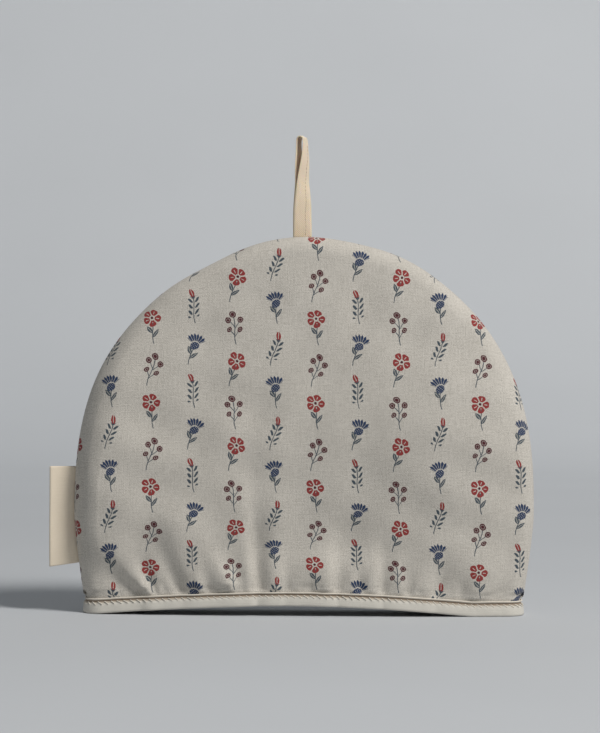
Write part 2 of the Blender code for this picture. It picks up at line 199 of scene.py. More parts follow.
def foldRise(x, z, folds, swells=()):
    rise = np.zeros_like(x)
    for footX, footZ, headX, headZ, depth, left, right in folds:
        runX, runZ = headX - footX, headZ - footZ
        length = math.hypot(runX, runZ)
        along = ((x - footX) * runX + (z - footZ) * runZ) / length**2
        share = np.clip(along, 0.0, 1.0)
        bowed = foldShape["bow"] * runX * share * (1 - share)
        apart = ((x - bowed - footX) * runZ - (z - footZ) * runX) / length
        width = np.where(apart < 0, left, right) * (1 + foldShape["widening"] * share)
        trough = np.exp(-((apart / width) ** 2))
        flanks = foldShape["flankShare"] * np.exp(-((apart / width / foldShape["flankWidth"]) ** 2))
        rise -= depth * (1 - share**2) ** 2 * (trough - flanks)
    eased = smooth((z - dome["footZ"]) / foldShape["swellEase"])
    for atX, atZ, high, spreadX, spreadZ in swells:
        rise += high * eased * np.exp(-(((x - atX) / spreadX) ** 2) - ((z - atZ) / spreadZ) ** 2)
    return rise


drift = {"waves": 9, "depth": 0.00022, "shortest": 0.030, "longest": 0.075}


def padDrift(x, z, seed):
    # slow unevenness of the wadding
    dice = np.random.default_rng(seed)
    rise = np.zeros_like(x)
    for _ in range(drift["waves"]):
        heading, wave = dice.uniform(0, turn), dice.uniform(drift["shortest"], drift["longest"])
        across = x * math.cos(heading) + z * math.sin(heading)
        rise += np.sin(across * turn / wave + dice.uniform(0, turn))
    return rise * drift["depth"]


def hemLift(x, z):
    # the hem's middle arches a little off the table, and the cloth above goes with it
    off = x - dome["archMiddle"]
    left = np.clip(1 - np.maximum(-off / dome["archLeft"], 0) ** dome["archLeftPower"], 0, 1)
    right = np.clip(1 - (off / dome["archRight"]) ** 2, 0, 1) ** dome["archRightPower"]
    fade = 1 - smooth((z - dome["footZ"]) / dome["archFade"])
    return dome["archRise"] * np.where(off < 0, left, right) * fade


panelGrid = {
    "sideSteps": 104, "upSteps": 84,
    "closerBelow": 0.28,     # rows lie closer near the hem, where the puckers are
    "rimStart": 0.9, "pressWithin": 0.97, "liningWithin": 0.985,
    "rollSteps": 12,         # rings round the rolled edge
    "tuckSteps": 4,          # rings from the roll into the seam
    "tuckIn": 0.0016,
    "hemRows": (0.0024, 0.0044, 0.0065, 0.0085, 0.0100, 0.0111, 0.0119, 0.0127, 0.0137),
    "hemLoose": 0.0006,
}
innerEdge = {"shares": (0, 0.45, 0.8, 1), "insets": (0.0125, 0.0070, 0.0034, 0.0016)}


def rimProfile():
    # (inset, depth on the outer face), from the roll's start round to the seam
    rows = []
    for step in range(panelGrid["rollSteps"] + 1):
        angle = math.pi / 2 * step / panelGrid["rollSteps"]
        inset = dome["edgeIn"] * (1 - math.sin(angle))
        rows.append((inset, dome["edgeCentre"] + dome["edgeDepth"] * math.cos(angle)))
    drop = dome["seamHalfGap"] + dome["seamPly"] - dome["edgeCentre"]
    for step in range(1, panelGrid["tuckSteps"] + 1):
        share = step / panelGrid["tuckSteps"]
        inset = panelGrid["tuckIn"] * share**1.6
        rows.append((inset, dome["edgeCentre"] + drop * math.sin(share * math.pi / 2)))
    return rows


rim = rimProfile()
rimLevels = np.linspace(panelGrid["rimStart"], 1.0, len(rim) + 1)[1:]
rimInsets, rimDepths = np.array(rim).T
rimRuns = runAlong(rimInsets, rimDepths)
innerInsets = np.interp(np.linspace(0, 1, len(rim)), innerEdge["shares"], innerEdge["insets"])


def rimPlace(level, layer):
    # for each point: whether it lies in the rim, which ring it is on, and that ring's inset
    index = np.clip(np.searchsorted(rimLevels, level - hair), 0, len(rim) - 1)
    insets = rimInsets if layer == "outer" else innerInsets
    return level > panelGrid["rimStart"] + hair, index, insets[index]


def gridLevels():
    steps = np.arange(1, panelGrid["sideSteps"] + 1) / panelGrid["sideSteps"]
    half = np.concatenate([panelGrid["rimStart"] * steps, rimLevels])
    across = np.concatenate([-half[::-1], [0.0], half])
    ups = np.arange(0, panelGrid["upSteps"] + 1) / panelGrid["upSteps"]
    ups = ups * (1 - panelGrid["closerBelow"] + panelGrid["closerBelow"] * ups)
    return across, np.concatenate([panelGrid["rimStart"] * ups, rimLevels])


def crownDepth(inset, reach, z):
    share = 1 - (1 - inset / reach) ** dome["crownPower"]
    above = np.maximum(z - dome["footZ"], 0) / dome["hemDrawHeight"]
    low = np.exp(-(above ** dome["hemDrawPower"]))
    inside = smooth(inset / (dome["hemDrawFade"] * dome["edgeIn"]))
    return dome["crown"] * share - dome["hemDraw"] * low * inside


def edgeRoll(inset):
    left = 1 - np.minimum(inset / dome["edgeIn"], 1.0)
    return dome["edgeCentre"] + dome["edgeDepth"] * np.sqrt(1 - left**2)


def clearOfEdge(inset):
    return smooth(inset / (dome["foldFade"] * dome["edgeIn"]))


def panelFace(layer, folds, tucks, swells, seed):
    # rows of points of one face (x, depth, z), and where each lies on the flat cloth (u, v)
    across, ups = gridLevels()
    a, b = np.meshgrid(across, ups)
    level = np.maximum(np.abs(a), b)
    safe = np.maximum(level, hair)
    upSide = b / (4 * safe)
    sideShare = np.where(a > 0, upSide, 1 - upSide)
    share = np.where(np.abs(a) >= b, sideShare, (2 * safe - a) / (4 * safe))
    share = np.where(level == 0, 0.5, share)
    edgeX = np.interp(share, outlineShare, outlineX)
    edgeZ = np.interp(share, outlineShare, outlineZ)
    reach = np.hypot(edgeX, edgeZ - dome["footZ"])
    inRim, rimIndex, rimInset = rimPlace(level, layer)
    inset = np.where(inRim, rimInset, (1 - level) * reach)
    x = edgeX * (1 - inset / reach)
    z = dome["footZ"] + (edgeZ - dome["footZ"]) * (1 - inset / reach)
    rise = foldRise(x, z, folds + tucks, swells) + padDrift(x, z, seed)
    rise *= clearOfEdge(inset)
    depth = edgeRoll(inset) + crownDepth(inset, reach, z) + rise
    if layer == "outer":
        depth = np.where(inRim & (rimIndex > panelGrid["rollSteps"]), rimDepths[rimIndex], depth)
    else:
        hollow = np.maximum(0.0, depth - rise - dome["thickness"] - dome["seamHalfGap"])
        shown = dome["insideShare"] * rise * smooth(hollow / dome["insideEase"])
        depth = dome["seamHalfGap"] + np.maximum(0.0, hollow + shown)
    flat = np.where(inRim, reach - dome["edgeIn"] + rimRuns[rimIndex], reach - inset)
    u, v = edgeX / reach * flat, (edgeZ - dome["footZ"]) / reach * flat
    hemX, hemDepth, hemZ = hemFace(across, layer, folds, tucks)
    # the first rows above the binding ease from the pressed hem to the free cloth
    ease = smooth((z - dome["footZ"]) / dome["pressHeight"])
    eased = np.interp(x, hemX[-1], hemDepth[-1]) * (1 - ease) + depth * ease
    near = (z < dome["footZ"] + dome["pressHeight"]) & (level < panelGrid["pressWithin"])
    depth = np.where(near, eased, depth)
    z = z + hemLift(x, z)
    hemV = np.broadcast_to((np.array(panelGrid["hemRows"]) - dome["footZ"])[:, None], hemX.shape)
    hemU = np.broadcast_to(u[0], hemX.shape)
    face = [np.vstack(pair) for pair in ((hemX, x), (hemDepth, depth), (hemZ, z))]
    return np.stack(face, axis=-1), np.stack([np.vstack([hemU, u]), np.vstack([hemV, v])], axis=-1)


binding = {
    "height": 0.0112, "press": 0.0008, "pressDepth": 0.0135, "hemThickness": 0.0046,
    "tuck": 0.0026, "tipInset": 0.0036, "nose": 0.0005,
    "foldShare": 0.30,       # how much of the panels' folds the binding follows
    "pitch": 0.00045,        # spacing of the rings along the hem
    "densePoints": 1201, "smoothings": 10, "knots": 110, "softening": 19,
    "pucker": 0.00024, "puckerZ": 0.0082, "puckerTall": 0.0014, "puckerStart": 0.0088, "puckerLean": 900,
    "puff": 0.00028, "puffTall": 0.0095, "lipWaver": 0.00012,
    "nearest": 0.0003,       # never closer to the panels than this
    "archTuck": 0.14,        # the arched middle of the band is this much slimmer
    "bakeLengths": 12, "bakeMargins": (0.005, 0.04),
}


def hemReach():
    return float(outlineHalfWidth(dome["footZ"]))


def hemOuterDepth(x, folds):
    reach = hemReach()
    inset = np.clip(reach - np.abs(x) / (1 - binding["tuck"] / reach), 0, None)
    rise = foldRise(x, np.full_like(x, binding["height"]), folds) * clearOfEdge(inset)
    depth = edgeRoll(inset) + crownDepth(inset, reach, np.full_like(x, dome["footZ"]))
    pressed = binding["press"] * np.minimum(1.0, depth / binding["pressDepth"])
    return depth - pressed + binding["foldShare"] * rise


def hemInnerDepth(x):
    return np.maximum(dome["seamHalfGap"], hemOuterDepth(x, ()) - binding["hemThickness"])


def hemFace(across, layer, folds, tucks):
    # rows from inside the binding up to just under the free cloth
    reach = hemReach()
    level = np.abs(across)
    inRim, rimIndex, rimInset = rimPlace(level, layer)
    inset = np.where(inRim, rimInset, (1 - level) * reach)
    tucked = inRim & (rimIndex > panelGrid["rollSteps"])
    x = np.sign(across) * (reach - inset)
    rows = []
    for height in panelGrid["hemRows"]:
        out = smooth((height - binding["height"]) / (dome["footZ"] - binding["height"]))
        rowX = x * (1 - binding["tuck"] * (1 - out) / reach)
        rowZ = np.full_like(rowX, height)
        if layer == "outer":
            depth = np.where(tucked, rimDepths[rimIndex], hemOuterDepth(rowX, folds))
            loose = foldRise(rowX, rowZ, folds + tucks) - binding["foldShare"] * foldRise(rowX, rowZ, folds)
            free = np.where(tucked, 0, 1)
            depth = depth + out * free * (clearOfEdge(inset) * loose + panelGrid["hemLoose"])
        else:
            depth = np.where(level > panelGrid["liningWithin"], dome["seamHalfGap"], hemInnerDepth(rowX))
        rows.append((rowX, depth, rowZ + hemLift(rowX, height)))
    return tuple(np.array(part) for part in zip(*rows))


def placedPiece(name, data):
    piece = bpy.data.objects.new(name, data)
    bpy.context.scene.collection.objects.link(piece)
    return piece


def meshPiece(name, points, faces, uvs=None, materials=(), faceMaterials=None):
    # uvs: {map name: (number of face corners, 2)}
    mesh = bpy.data.meshes.new(name)
    mesh.from_pydata(np.asarray(points).tolist(), [], [list(map(int, face)) for face in faces])
    for mapName, spots in (uvs or {}).items():
        layer = mesh.uv_layers.new(name=mapName)
        layer.data.foreach_set("uv", np.asarray(spots, dtype=np.float32).ravel())
    for material in materials:
        mesh.materials.append(material)
    if faceMaterials is not None:
        mesh.polygons.foreach_set("material_index", np.asarray(faceMaterials, dtype=np.int32))
    mesh.shade_smooth()
    mesh.validate()
    return placedPiece(name, mesh)


def quadGrid(rows, columns, around=False):
    # corner numbers of a grid of points, row by row
    index = np.arange(rows * columns).reshape(rows, columns)
    if around:
        index = np.hstack([index, index[:, :1]])
    corners = (index[:-1, :-1], index[:-1, 1:], index[1:, 1:], index[1:, :-1])
    return np.stack(corners, axis=-1).reshape(-1, 4)


def pointsInwards(points, faces):
    # a closed shape that is inside out has a volume below nought
    a, b, c, d = (np.asarray(points)[faces][:, k] for k in range(4))
    halves = (np.einsum("ij,ij->i", a, np.cross(b, c)), np.einsum("ij,ij->i", a, np.cross(c, d)))
    return sum(half.sum() for half in halves) < 0


def slabFaces(points, rows, columns):
    # a closed slab of two grids of points: the top's faces, then the bottom's, then those of the edge
    count = rows * columns
    index = np.arange(count).reshape(rows, columns)
    edge = np.concatenate([index[0, :], index[1:, -1], index[-1, -2::-1], index[-2:0:-1, 0]])
    after = np.roll(edge, -1)
    sides = np.stack([after, edge, edge + count, after + count], axis=-1)
    top = quadGrid(rows, columns)
    faces = np.concatenate([top, top[:, ::-1] + count, sides])
    return faces[:, ::-1] if pointsInwards(points, faces) else faces


def paddedPanel(name, side, folds, tucks, swells, seed, materials):
    outer, flatOuter = panelFace("outer", folds, tucks, swells, seed)
    inner, flatInner = panelFace("inner", folds, tucks, swells, seed)
    rows, columns = outer.shape[:2]
    points = np.concatenate([outer.reshape(-1, 3), inner.reshape(-1, 3)])
    points[:, 1] *= side
    points[:, 0] += bodyShift
    faces = slabFaces(points, rows, columns)
    flat = np.stack([flatOuter.reshape(-1, 2), flatInner.reshape(-1, 2)])
    flat[..., 0] *= -side      # the print reads the right way round on both sides
    uvs = {"cloth": flat.reshape(-1, 2)[faces.ravel()]}
    isLining = np.arange(len(faces)) >= (rows - 1) * (columns - 1)
    return meshPiece(name, points, faces, uvs, materials, isLining)


def stackedLengths(along, across, strip, row, rows, margins):
    # where a long strip's colours are baked: its lengths stacked on one sheet, with a margin round each
    u = margins[0] + (1 - 2 * margins[0]) * np.clip(along - strip, 0, 1)
    v = (row + margins[1] + (1 - 2 * margins[1]) * across) / rows
    return np.stack([u, v], axis=-1)


# outer side of the binding from the lip down: (out from the panels, z)
lipToFoot = [
    (0.0003, 0.0100), (0.0003, 0.0108), (0.0005, 0.01125), (0.0009, 0.01140), (0.00135, 0.01128),
    (0.00155, 0.01095), (0.00145, 0.01060), (0.0010, 0.01035), (0.00055, 0.01005), (0.00042, 0.0094),
    (0.0008, 0.0086), (0.0016, 0.0078), (0.0021, 0.0068), (0.0024, 0.0054), (0.0026, 0.0036),
    (0.0028, 0.0018), (0.0027, 0.0007), (0.0020, 0.0001), (0.0003, 0.0),
]
# inner side, from the foot up and down again inside the fold: (into the hollow, z)
footToHollow = [
    (0.0004, 0.0), (0.0010, 0.0005), (0.0014, 0.0018), (0.0015, 0.0040), (0.0014, 0.0075),
    (0.0012, 0.0097), (0.0009, 0.0104), (0.0005, 0.0103), (0.0004, 0.0092), (0.0004, 0.0012),
]
foldFloor = (0.0003, 0.0012)
grooveAt = 9            # which of lipToFoot is the bottom of the groove under the lip
stitchesBelow = 2       # and how many rings lower the stitches lie


def hemPath():
    # closed path round the panels' outer face: points, outward normals, and the hollow's matching points
    tip = hemReach() - binding["tuck"]
    dense = tip * np.sin(np.linspace(-math.pi / 2, math.pi / 2, binding["densePoints"]))[1:-1]
    nose = [tip + binding["nose"]]
    x = np.concatenate([dense, nose, dense[::-1], np.negative(nose)])
    front, back = (hemOuterDepth(dense, folds) for folds in (frontFolds, backFolds))
    y = np.concatenate([-front, [0.0], back[::-1], [0.0]])
    x, y = np.append(x, x[0]), np.append(y, y[0])
    run = runAlong(x, y)
    count = round(run[-1] / binding["pitch"])
    at = np.linspace(0, run[-1], count, endpoint=False)
    path = np.stack([np.interp(at, run, x), np.interp(at, run, y)], axis=-1)
    for _ in range(binding["smoothings"]):
        path = (np.roll(path, 1, axis=0) + 2 * path + np.roll(path, -1, axis=0)) / 4
    goX, goY = (np.roll(path, -1, axis=0) - np.roll(path, 1, axis=0)).T
    normal = np.stack([goY, -goX], axis=-1) / np.hypot(goX, goY)[:, None]
    hollowX = np.clip(path[:, 0], -tip, tip) * ((tip - binding["tipInset"]) / tip)
    hollowY = np.sign(path[:, 1]) * hemInnerDepth(np.abs(hollowX))
    return path, normal, np.stack([hollowX, hollowY], axis=-1), at, run[-1]


def bindingRings():
    path, normal, hollow, along, total = hemPath()
    dice = np.random.default_rng(seeds["binding"])
    tip = np.abs(hollow[:, 0]).max()
    phase = along / total * round(total / stitches["pitch"]) * turn
    knots = np.linspace(0, total, binding["knots"])
    slow = np.interp(along, knots, dice.uniform(-1, 1, len(knots)), period=total)
    wide = binding["softening"]
    slow = np.convolve(np.pad(slow, wide // 2, mode="wrap"), np.ones(wide) / wide, mode="valid")
    rings = []
    for off, z in lipToFoot:
        near = math.exp(-(((z - binding["puckerZ"]) / binding["puckerTall"]) ** 2))
        wave = phase - (binding["puckerStart"] - z) * binding["puckerLean"]
        gather = binding["pucker"] * near * np.sin(wave)
        bulge = binding["puff"] * slow * math.sin(math.pi * min(z / binding["puffTall"], 1.0))
        ring = path + normal * np.maximum(off + gather + bulge, binding["nearest"])[:, None]
        rings.append((ring, z + np.where(z > binding["puffTall"], binding["lipWaver"] * slow, 0)))
    for off, z in footToHollow:
        ring = hollow * [1 - off / tip, 1.0]
        ring[:, 1] -= np.sign(ring[:, 1]) * off
        rings.append((ring, np.full(len(ring), z)))
    rings.append((path + normal * foldFloor[0], np.full(len(path), foldFloor[1])))
    points = []
    for ring, z in rings:
        slimmer = 1 + binding["archTuck"] * np.clip(1 - z / binding["height"], 0, 1)
        points.append(np.column_stack([ring, z + hemLift(ring[:, 0], 0.0) * slimmer]))
    return np.array(points), normal, total


def hemBinding(material):
    rings, _, total = bindingRings()
    rows, columns = rings.shape[:2]
    points = rings.reshape(-1, 3) + [bodyShift, 0, 0]
    index = np.arange(rows * columns).reshape(rows, columns)
    last, first = index[-1], index[0]
    joined = np.stack([last, np.roll(last, -1), np.roll(first, -1), first], axis=-1)
    faces = np.concatenate([quadGrid(rows, columns, around=True), joined])
    # flat place of each face corner, counted so that the ring's ends stay apart
    around = np.concatenate([rings, rings[:1]])
    girth = np.concatenate([[0.0], np.cumsum(np.linalg.norm(np.diff(around, axis=0), axis=2).mean(axis=1))])
    row, ring = np.divmod(np.arange(rows * columns), columns)
    step = total / columns
    u = np.stack([ring, ring + 1, ring + 1, ring], axis=-1) * step
    v = np.stack([girth[row], girth[row], girth[row + 1], girth[row + 1]], axis=-1)
    length = total / binding["bakeLengths"]
    strip = np.floor((ring * step + step / 2) / length)[:, None]
    bake = stackedLengths(
        u / length, v / girth[-1], strip, strip, binding["bakeLengths"], binding["bakeMargins"]
    )
    flat = np.stack([u, v], axis=-1)
    if pointsInwards(points, faces):
        faces, flat, bake = faces[:, ::-1], flat[:, ::-1], bake[:, ::-1]
    uvs = {"cloth": flat.reshape(-1, 2), "OFBake": bake.reshape(-1, 2)}
    return meshPiece("binding_strip", points, faces, uvs, [material])


strips = {"edgePower": 10, "edgeLeast": 0.06, "bakeMargins": (0.01, 0.05), "bakeSlack": 1.0001}


def stripMesh(name, middle, normal, thickness, material, bakeLengths):
    # a thin cloth strip with soft edges: middle and normal are (along, across, 3) arrays
    rows, columns = middle.shape[:2]
    across = np.linspace(-1, 1, columns)
    fullness = np.clip(1 - np.abs(across) ** strips["edgePower"], strips["edgeLeast"], 1)
    half = thickness / 2 * np.sqrt(fullness)[None, :, None]
    points = np.stack([middle + normal * half, middle - normal * half]).reshape(-1, 3)
    faces = slabFaces(points, rows, columns)
    run = np.concatenate([[0.0], np.cumsum(np.linalg.norm(np.diff(middle, axis=0), axis=2).mean(axis=1))])
    wide = float(np.linalg.norm(np.diff(middle, axis=1), axis=2).sum(axis=1).mean())
    flat = np.stack(np.broadcast_arrays(run[:, None], (across + 1) / 2 * wide), axis=-1).reshape(-1, 2)
    cornerFlat = flat[faces % len(flat)]
    # each side of the strip is baked in a half of the sheet of its own
    length = run[-1] * strips["bakeSlack"] / bakeLengths
    strip = np.floor(cornerFlat[..., 0].mean(axis=1, keepdims=True) / length)
    lower = (faces >= len(flat)).all(axis=1, keepdims=True)
    bake = stackedLengths(
        cornerFlat[..., 0] / length, cornerFlat[..., 1] / wide,
        strip, strip + lower * bakeLengths, 2 * bakeLengths, strips["bakeMargins"],
    )
    uvs = {"cloth": cornerFlat.reshape(-1, 2), "OFBake": bake.reshape(-1, 2)}
    return meshPiece(name, points, faces, uvs, [material]), run[-1], wide


def gridNormals(middle):
    normal = np.cross(np.gradient(middle, axis=0), np.gradient(middle, axis=1))
    return normal / np.linalg.norm(normal, axis=2, keepdims=True)


loop = {
    "width": 0.0138, "thickness": 0.0010, "height": 0.0755, "sink": 0.0006,
    "footX": -0.0025, "lean": -0.0007,
    "apartFoot": 0.0015, "apartWide": 0.0050, "apartTop": 0.0044, "cup": 0.0004,
    "turn": math.radians(76), "turnStart": -0.012, "turnEnd": 0.080,
    "spreadStart": 0.038, "spreadEnd": 0.061, "pinchStart": 0.0690, "pinchEnd": 0.0740,
    "waver": 0.00018, "waverUp": 210, "waverAcross": 1.3, "waverFrom": 0.015,
    "legSteps": 70, "archSteps": 26, "acrossSteps": 14, "bakeLengths": 4,
    "seamRows": (3, 66), "seamColumn": 9.3, "seamSway": 0.25, "seamSwayUp": 0.35, "seamOff": 0.00002,
}


def loopPath():
    # rows of (forward, height, out forward, out upward, bulge): up the front leg, over, and down the back leg
    arch = loop["apartTop"] / 2
    archZ = loop["height"] - arch - loop["thickness"] / 2
    heights = archZ * np.arange(loop["legSteps"]) / loop["legSteps"]
    opened = smooth((heights - loop["spreadStart"]) / (loop["spreadEnd"] - loop["spreadStart"]))
    pinched = smooth((heights - loop["pinchStart"]) / (loop["pinchEnd"] - loop["pinchStart"]))
    forward = (loop["apartFoot"] + (loop["apartWide"] - loop["apartFoot"]) * opened) / 2
    forward = forward + (arch - loop["apartWide"] / 2) * pinched
    leg = np.stack([forward, heights, np.ones_like(heights), np.zeros_like(heights), opened], axis=-1)
    angle = np.linspace(0, math.pi, loop["archSteps"] + 1)
    outForward, outUp = np.cos(angle), np.sin(angle)
    over = [arch * outForward, archZ + arch * outUp, outForward, outUp, np.ones_like(angle)]
    return np.concatenate([leg, np.stack(over, axis=-1), leg[::-1] * [-1, 1, -1, 1, 1]])


def loopSurface():
    forward, height, outForward, outUp, bulge = (part[:, None] for part in loopPath().T)
    across = np.linspace(-loop["width"] / 2, loop["width"] / 2, loop["acrossSteps"] + 1)[None, :]
    share = across / (loop["width"] / 2)
    angle = loop["turn"] * smooth((height - loop["turnStart"]) / (loop["turnEnd"] - loop["turnStart"]))
    # the tape bulges away from the gap, and its edges waver
    waver = loop["waver"] * np.sin(height * loop["waverUp"] + share * loop["waverAcross"] + outForward)
    swell = loop["cup"] * (1 - share**2) * bulge + waver * smooth(height / loop["waverFrom"])
    out = forward + outForward * swell
    x = out * np.sin(angle) + across * np.cos(angle)
    y = -out * np.cos(angle) + across * np.sin(angle)
    x = x + loop["footX"] + loop["lean"] * height / loop["height"]
    z = np.broadcast_to(dome["crownZ"] - loop["sink"] + height + outUp * swell, x.shape)
    return np.stack([x, y, z], axis=-1) + [bodyShift, 0, 0]


label = {
    "reach": 0.1896, "topZ": 0.1090, "footZ": 0.0340, "footRise": 0.0032,
    "ply": 0.001, "foldRadius": 0.0007, "bow": 0.0034, "bowPower": 0.9, "bowEnds": 0.7, "sink": 0.0007,
    "ripple": 0.0005, "rippleUp": 9.0, "rippleAcross": 2.2,
    "rows": 70, "faceSteps": 18, "foldSteps": 10, "bakeLengths": 2,
}


def labelEdgeX(z):
    left = outlineShare > 0.5
    order = np.argsort(outlineZ[left])
    return np.interp(z, outlineZ[left][order], outlineX[left][order]) + label["sink"]


def labelSurface():
    up = np.linspace(0, 1, label["rows"] + 1)[:, None]
    radius = label["foldRadius"]
    foldX = -label["reach"] + radius
    rootFoot = label["footZ"] + label["footRise"]
    rootZ = rootFoot + (label["topZ"] - rootFoot) * up
    foldZ = label["footZ"] + (label["topZ"] - label["footZ"]) * up
    rootX = labelEdgeX(rootZ)
    face = np.arange(label["faceSteps"]) / label["faceSteps"]
    flatFace = np.zeros(len(face))
    bend = np.linspace(0, math.pi, label["foldSteps"] + 1)
    share = np.concatenate([face, np.ones(len(bend)), face[::-1]])[None, :]
    y = np.concatenate([flatFace - radius, -radius * np.cos(bend), flatFace + radius])[None, :]
    past = np.concatenate([flatFace, -radius * np.sin(bend), flatFace])[None, :]
    x = rootX + (foldX - rootX) * share + past
    ripple = label["ripple"] * np.sin(up * label["rippleUp"] + share * label["rippleAcross"]) * share
    middling = label["bowEnds"] + (1 - label["bowEnds"]) * np.cos(math.pi * (up - 0.5))
    bow = -label["bow"] * share ** label["bowPower"] * middling + ripple
    z = rootZ + (foldZ - rootZ) * share
    return np.stack([x + bodyShift, y + bow, z], axis=-1)


def wire(tree, kind, inputs=None, **settings):
    node = tree.nodes.new(kind)
    for name, value in settings.items():
        setattr(node, name, value)
    for key, value in (inputs or {}).items():
        value = getattr(value, "socket", value)
        if isinstance(value, bpy.types.NodeSocket):
            tree.links.new(value, node.inputs[key])
        else:
            node.inputs[key].default_value = value
    return node


class Reading:
    # a number in the node tree, so that a drawing can be written as sums

    def __init__(self, tree, socket):
        self.tree = tree
        self.socket = socket

    def made(self, operation, *others, clamp=False):
        node = wire(self.tree, "ShaderNodeMath", dict(enumerate((self, *others))), operation=operation)
        node.use_clamp = clamp
        return Reading(self.tree, node.outputs[0])

    __add__ = __radd__ = partialmethod(made, "ADD")
    __sub__ = partialmethod(made, "SUBTRACT")
    __mul__ = __rmul__ = partialmethod(made, "MULTIPLY")
    __truediv__ = partialmethod(made, "DIVIDE")
    __neg__ = partialmethod(made, "MULTIPLY", -1.0)
    size = partialmethod(made, "ABSOLUTE")
    floor = partialmethod(made, "FLOOR")
    sine = partialmethod(made, "SINE")
    sign = partialmethod(made, "SIGN")
    least = partialmethod(made, "MINIMUM")
    most = partialmethod(made, "MAXIMUM")
    over = partialmethod(made, "GREATER_THAN")
    power = partialmethod(made, "POWER")
    modulo = partialmethod(made, "FLOORED_MODULO")
    timesPlus = partialmethod(made, "MULTIPLY_ADD")
    pingpong = partialmethod(made, "PINGPONG", 0.5)
    capped = partialmethod(made, "MULTIPLY", clamp=True)

    def __rsub__(self, other):
        return self.timesPlus(-1.0, other)

    def isNear(self, value):
        return self.made("COMPARE", value, 0.25)

    def inked(self, soft=0.13):
        # 1 where this distance is below nought, fading over a soft edge
        return self.timesPlus(-0.5 / soft, 0.5, clamp=True)


def inside(*distances):
    # 1 where all of these distances are below nought
    return math.prod(distance.inked() for distance in distances)


def far(x, y):
    return (x * x + y * y).made("SQRT")


def angleOf(y, x):
    return y.made("ARCTAN2", x)


def partsOf(tree, vector):
    parts = wire(tree, "ShaderNodeSeparateXYZ", {0: vector})
    return Reading(tree, parts.outputs[0]), Reading(tree, parts.outputs[1])


def noiseAt(tree, vector, scale, detail=2.0, rough=0.5, stretch=None):
    if stretch is not None:
        vector = wire(tree, "ShaderNodeMapping", {"Vector": vector, "Scale": stretch}).outputs[0]
    inputs = {"Vector": vector, "Scale": scale, "Detail": detail, "Roughness": rough}
    return Reading(tree, wire(tree, "ShaderNodeTexNoise", inputs).outputs["Fac"])


def blend(tree, factor, colourA, colourB, mode="MIX"):
    inputs = {0: factor}
    for key, value in ((6, colourA), (7, colourB)):
        inputs[key] = value if isinstance(value, bpy.types.NodeSocket) else (*value, 1.0)
    return wire(tree, "ShaderNodeMix", inputs, data_type="RGBA", blend_type=mode).outputs[2]


def newMaterial(name):
    material = bpy.data.materials.new(name)
    material.use_nodes = True
    tree = material.node_tree
    tree.nodes.clear()
    shader = tree.nodes.new("ShaderNodeBsdfPrincipled")
    result = tree.nodes.new("ShaderNodeOutputMaterial")
    tree.links.new(shader.outputs[0], result.inputs["Surface"])
    return material, tree, shader


clothGloss = {"Sheen Roughness": 0.5, "Specular IOR Level": 0.22}


def finishCloth(tree, shader, colour, height, reach, rough, strength=0.6, sheen=0.15):
    bump = wire(tree, "ShaderNodeBump", {"Height": height, "Distance": reach, "Strength": strength})
    for name, value in {**clothGloss, "Sheen Weight": sheen}.items():
        shader.inputs[name].default_value = value
    for key, value in (("Base Color", colour), ("Roughness", rough), ("Normal", bump.outputs[0])):
        tree.links.new(getattr(value, "socket", value), shader.inputs[key])


def vectorMath(tree, operation, *vectors):
    return wire(tree, "ShaderNodeVectorMath", dict(enumerate(vectors)), operation=operation).outputs[0]


def clothMillimetres(tree):
    flat = wire(tree, "ShaderNodeUVMap", uv_map="cloth")
    return vectorMath(tree, "MULTIPLY", flat.outputs[0], (1000.0, 1000.0, 1000.0))


twillShape = {"ribWide": 1.414, "threadWide": 0.8, "ribHigh": 0.3, "threadHigh": 0.12}


def twill(tree, vector, pitch):
    # diagonal ribs and the single threads in them: height 0..1
    u, v = partsOf(tree, vector)
    ribs = ((u + v) * (turn / (pitch * twillShape["ribWide"]))).sine()
    threads = ((u - v) * (turn / (pitch * twillShape["threadWide"]))).sine()
    return ribs.timesPlus(twillShape["ribHigh"], 0.5) + threads * twillShape["threadHigh"]


def plainWeave(tree, vector, pitch):
    # over-and-under threads of an even weave: height 0..1
    u, v = partsOf(tree, vector)
    return ((u * (math.pi / pitch)).sine() * (v * (math.pi / pitch)).sine()).timesPlus(0.5, 0.5)


# lengths in mm of flat cloth
cottonPrint = {
    "threadPitch": 0.62, "ground": (0.646, 0.610, 0.552), "shade": (0.388, 0.363, 0.321),
    "inks": {
        "stem": (0.060, 0.080, 0.098), "red": (0.270, 0.040, 0.038),
        "navy": (0.024, 0.044, 0.100), "maroon": (0.080, 0.018, 0.024),
    },
    "flecks": {"colour": (0.20, 0.15, 0.10), "radius": 0.34, "dark": 0.65, "scale": 0.085, "rare": 0.45},
    "slubs": ((0.10, 1.15, 1.0), (1.15, 0.08, 1.0)), "grainScale": 1.15, "cloudScale": 0.035,
    "toneOf": {"streaks": 1.8, "grain": 3.1, "cloudy": 0.4, "weave": 0.8}, "toneLevel": 0.62,
    "coverOf": {"grain": 1.5, "weave": 0.6}, "coverLevel": 0.22,
    "heightOf": {"weave": 0.55, "streaks": 0.9, "grain": 0.25}, "bump": 0.00030,      # the bump in m
    "roughGrain": 0.12, "rough": 0.84,
    "columnPitch": 30.4, "rowPitch": 31.2, "startAcross": 7.0, "startUp": 4.0, "lean": 0.20,
    "shakeScale": 0.45, "shake": 0.9, "bend": 1.15, "bendPace": 0.21, "bendFrom": 0.5,
}


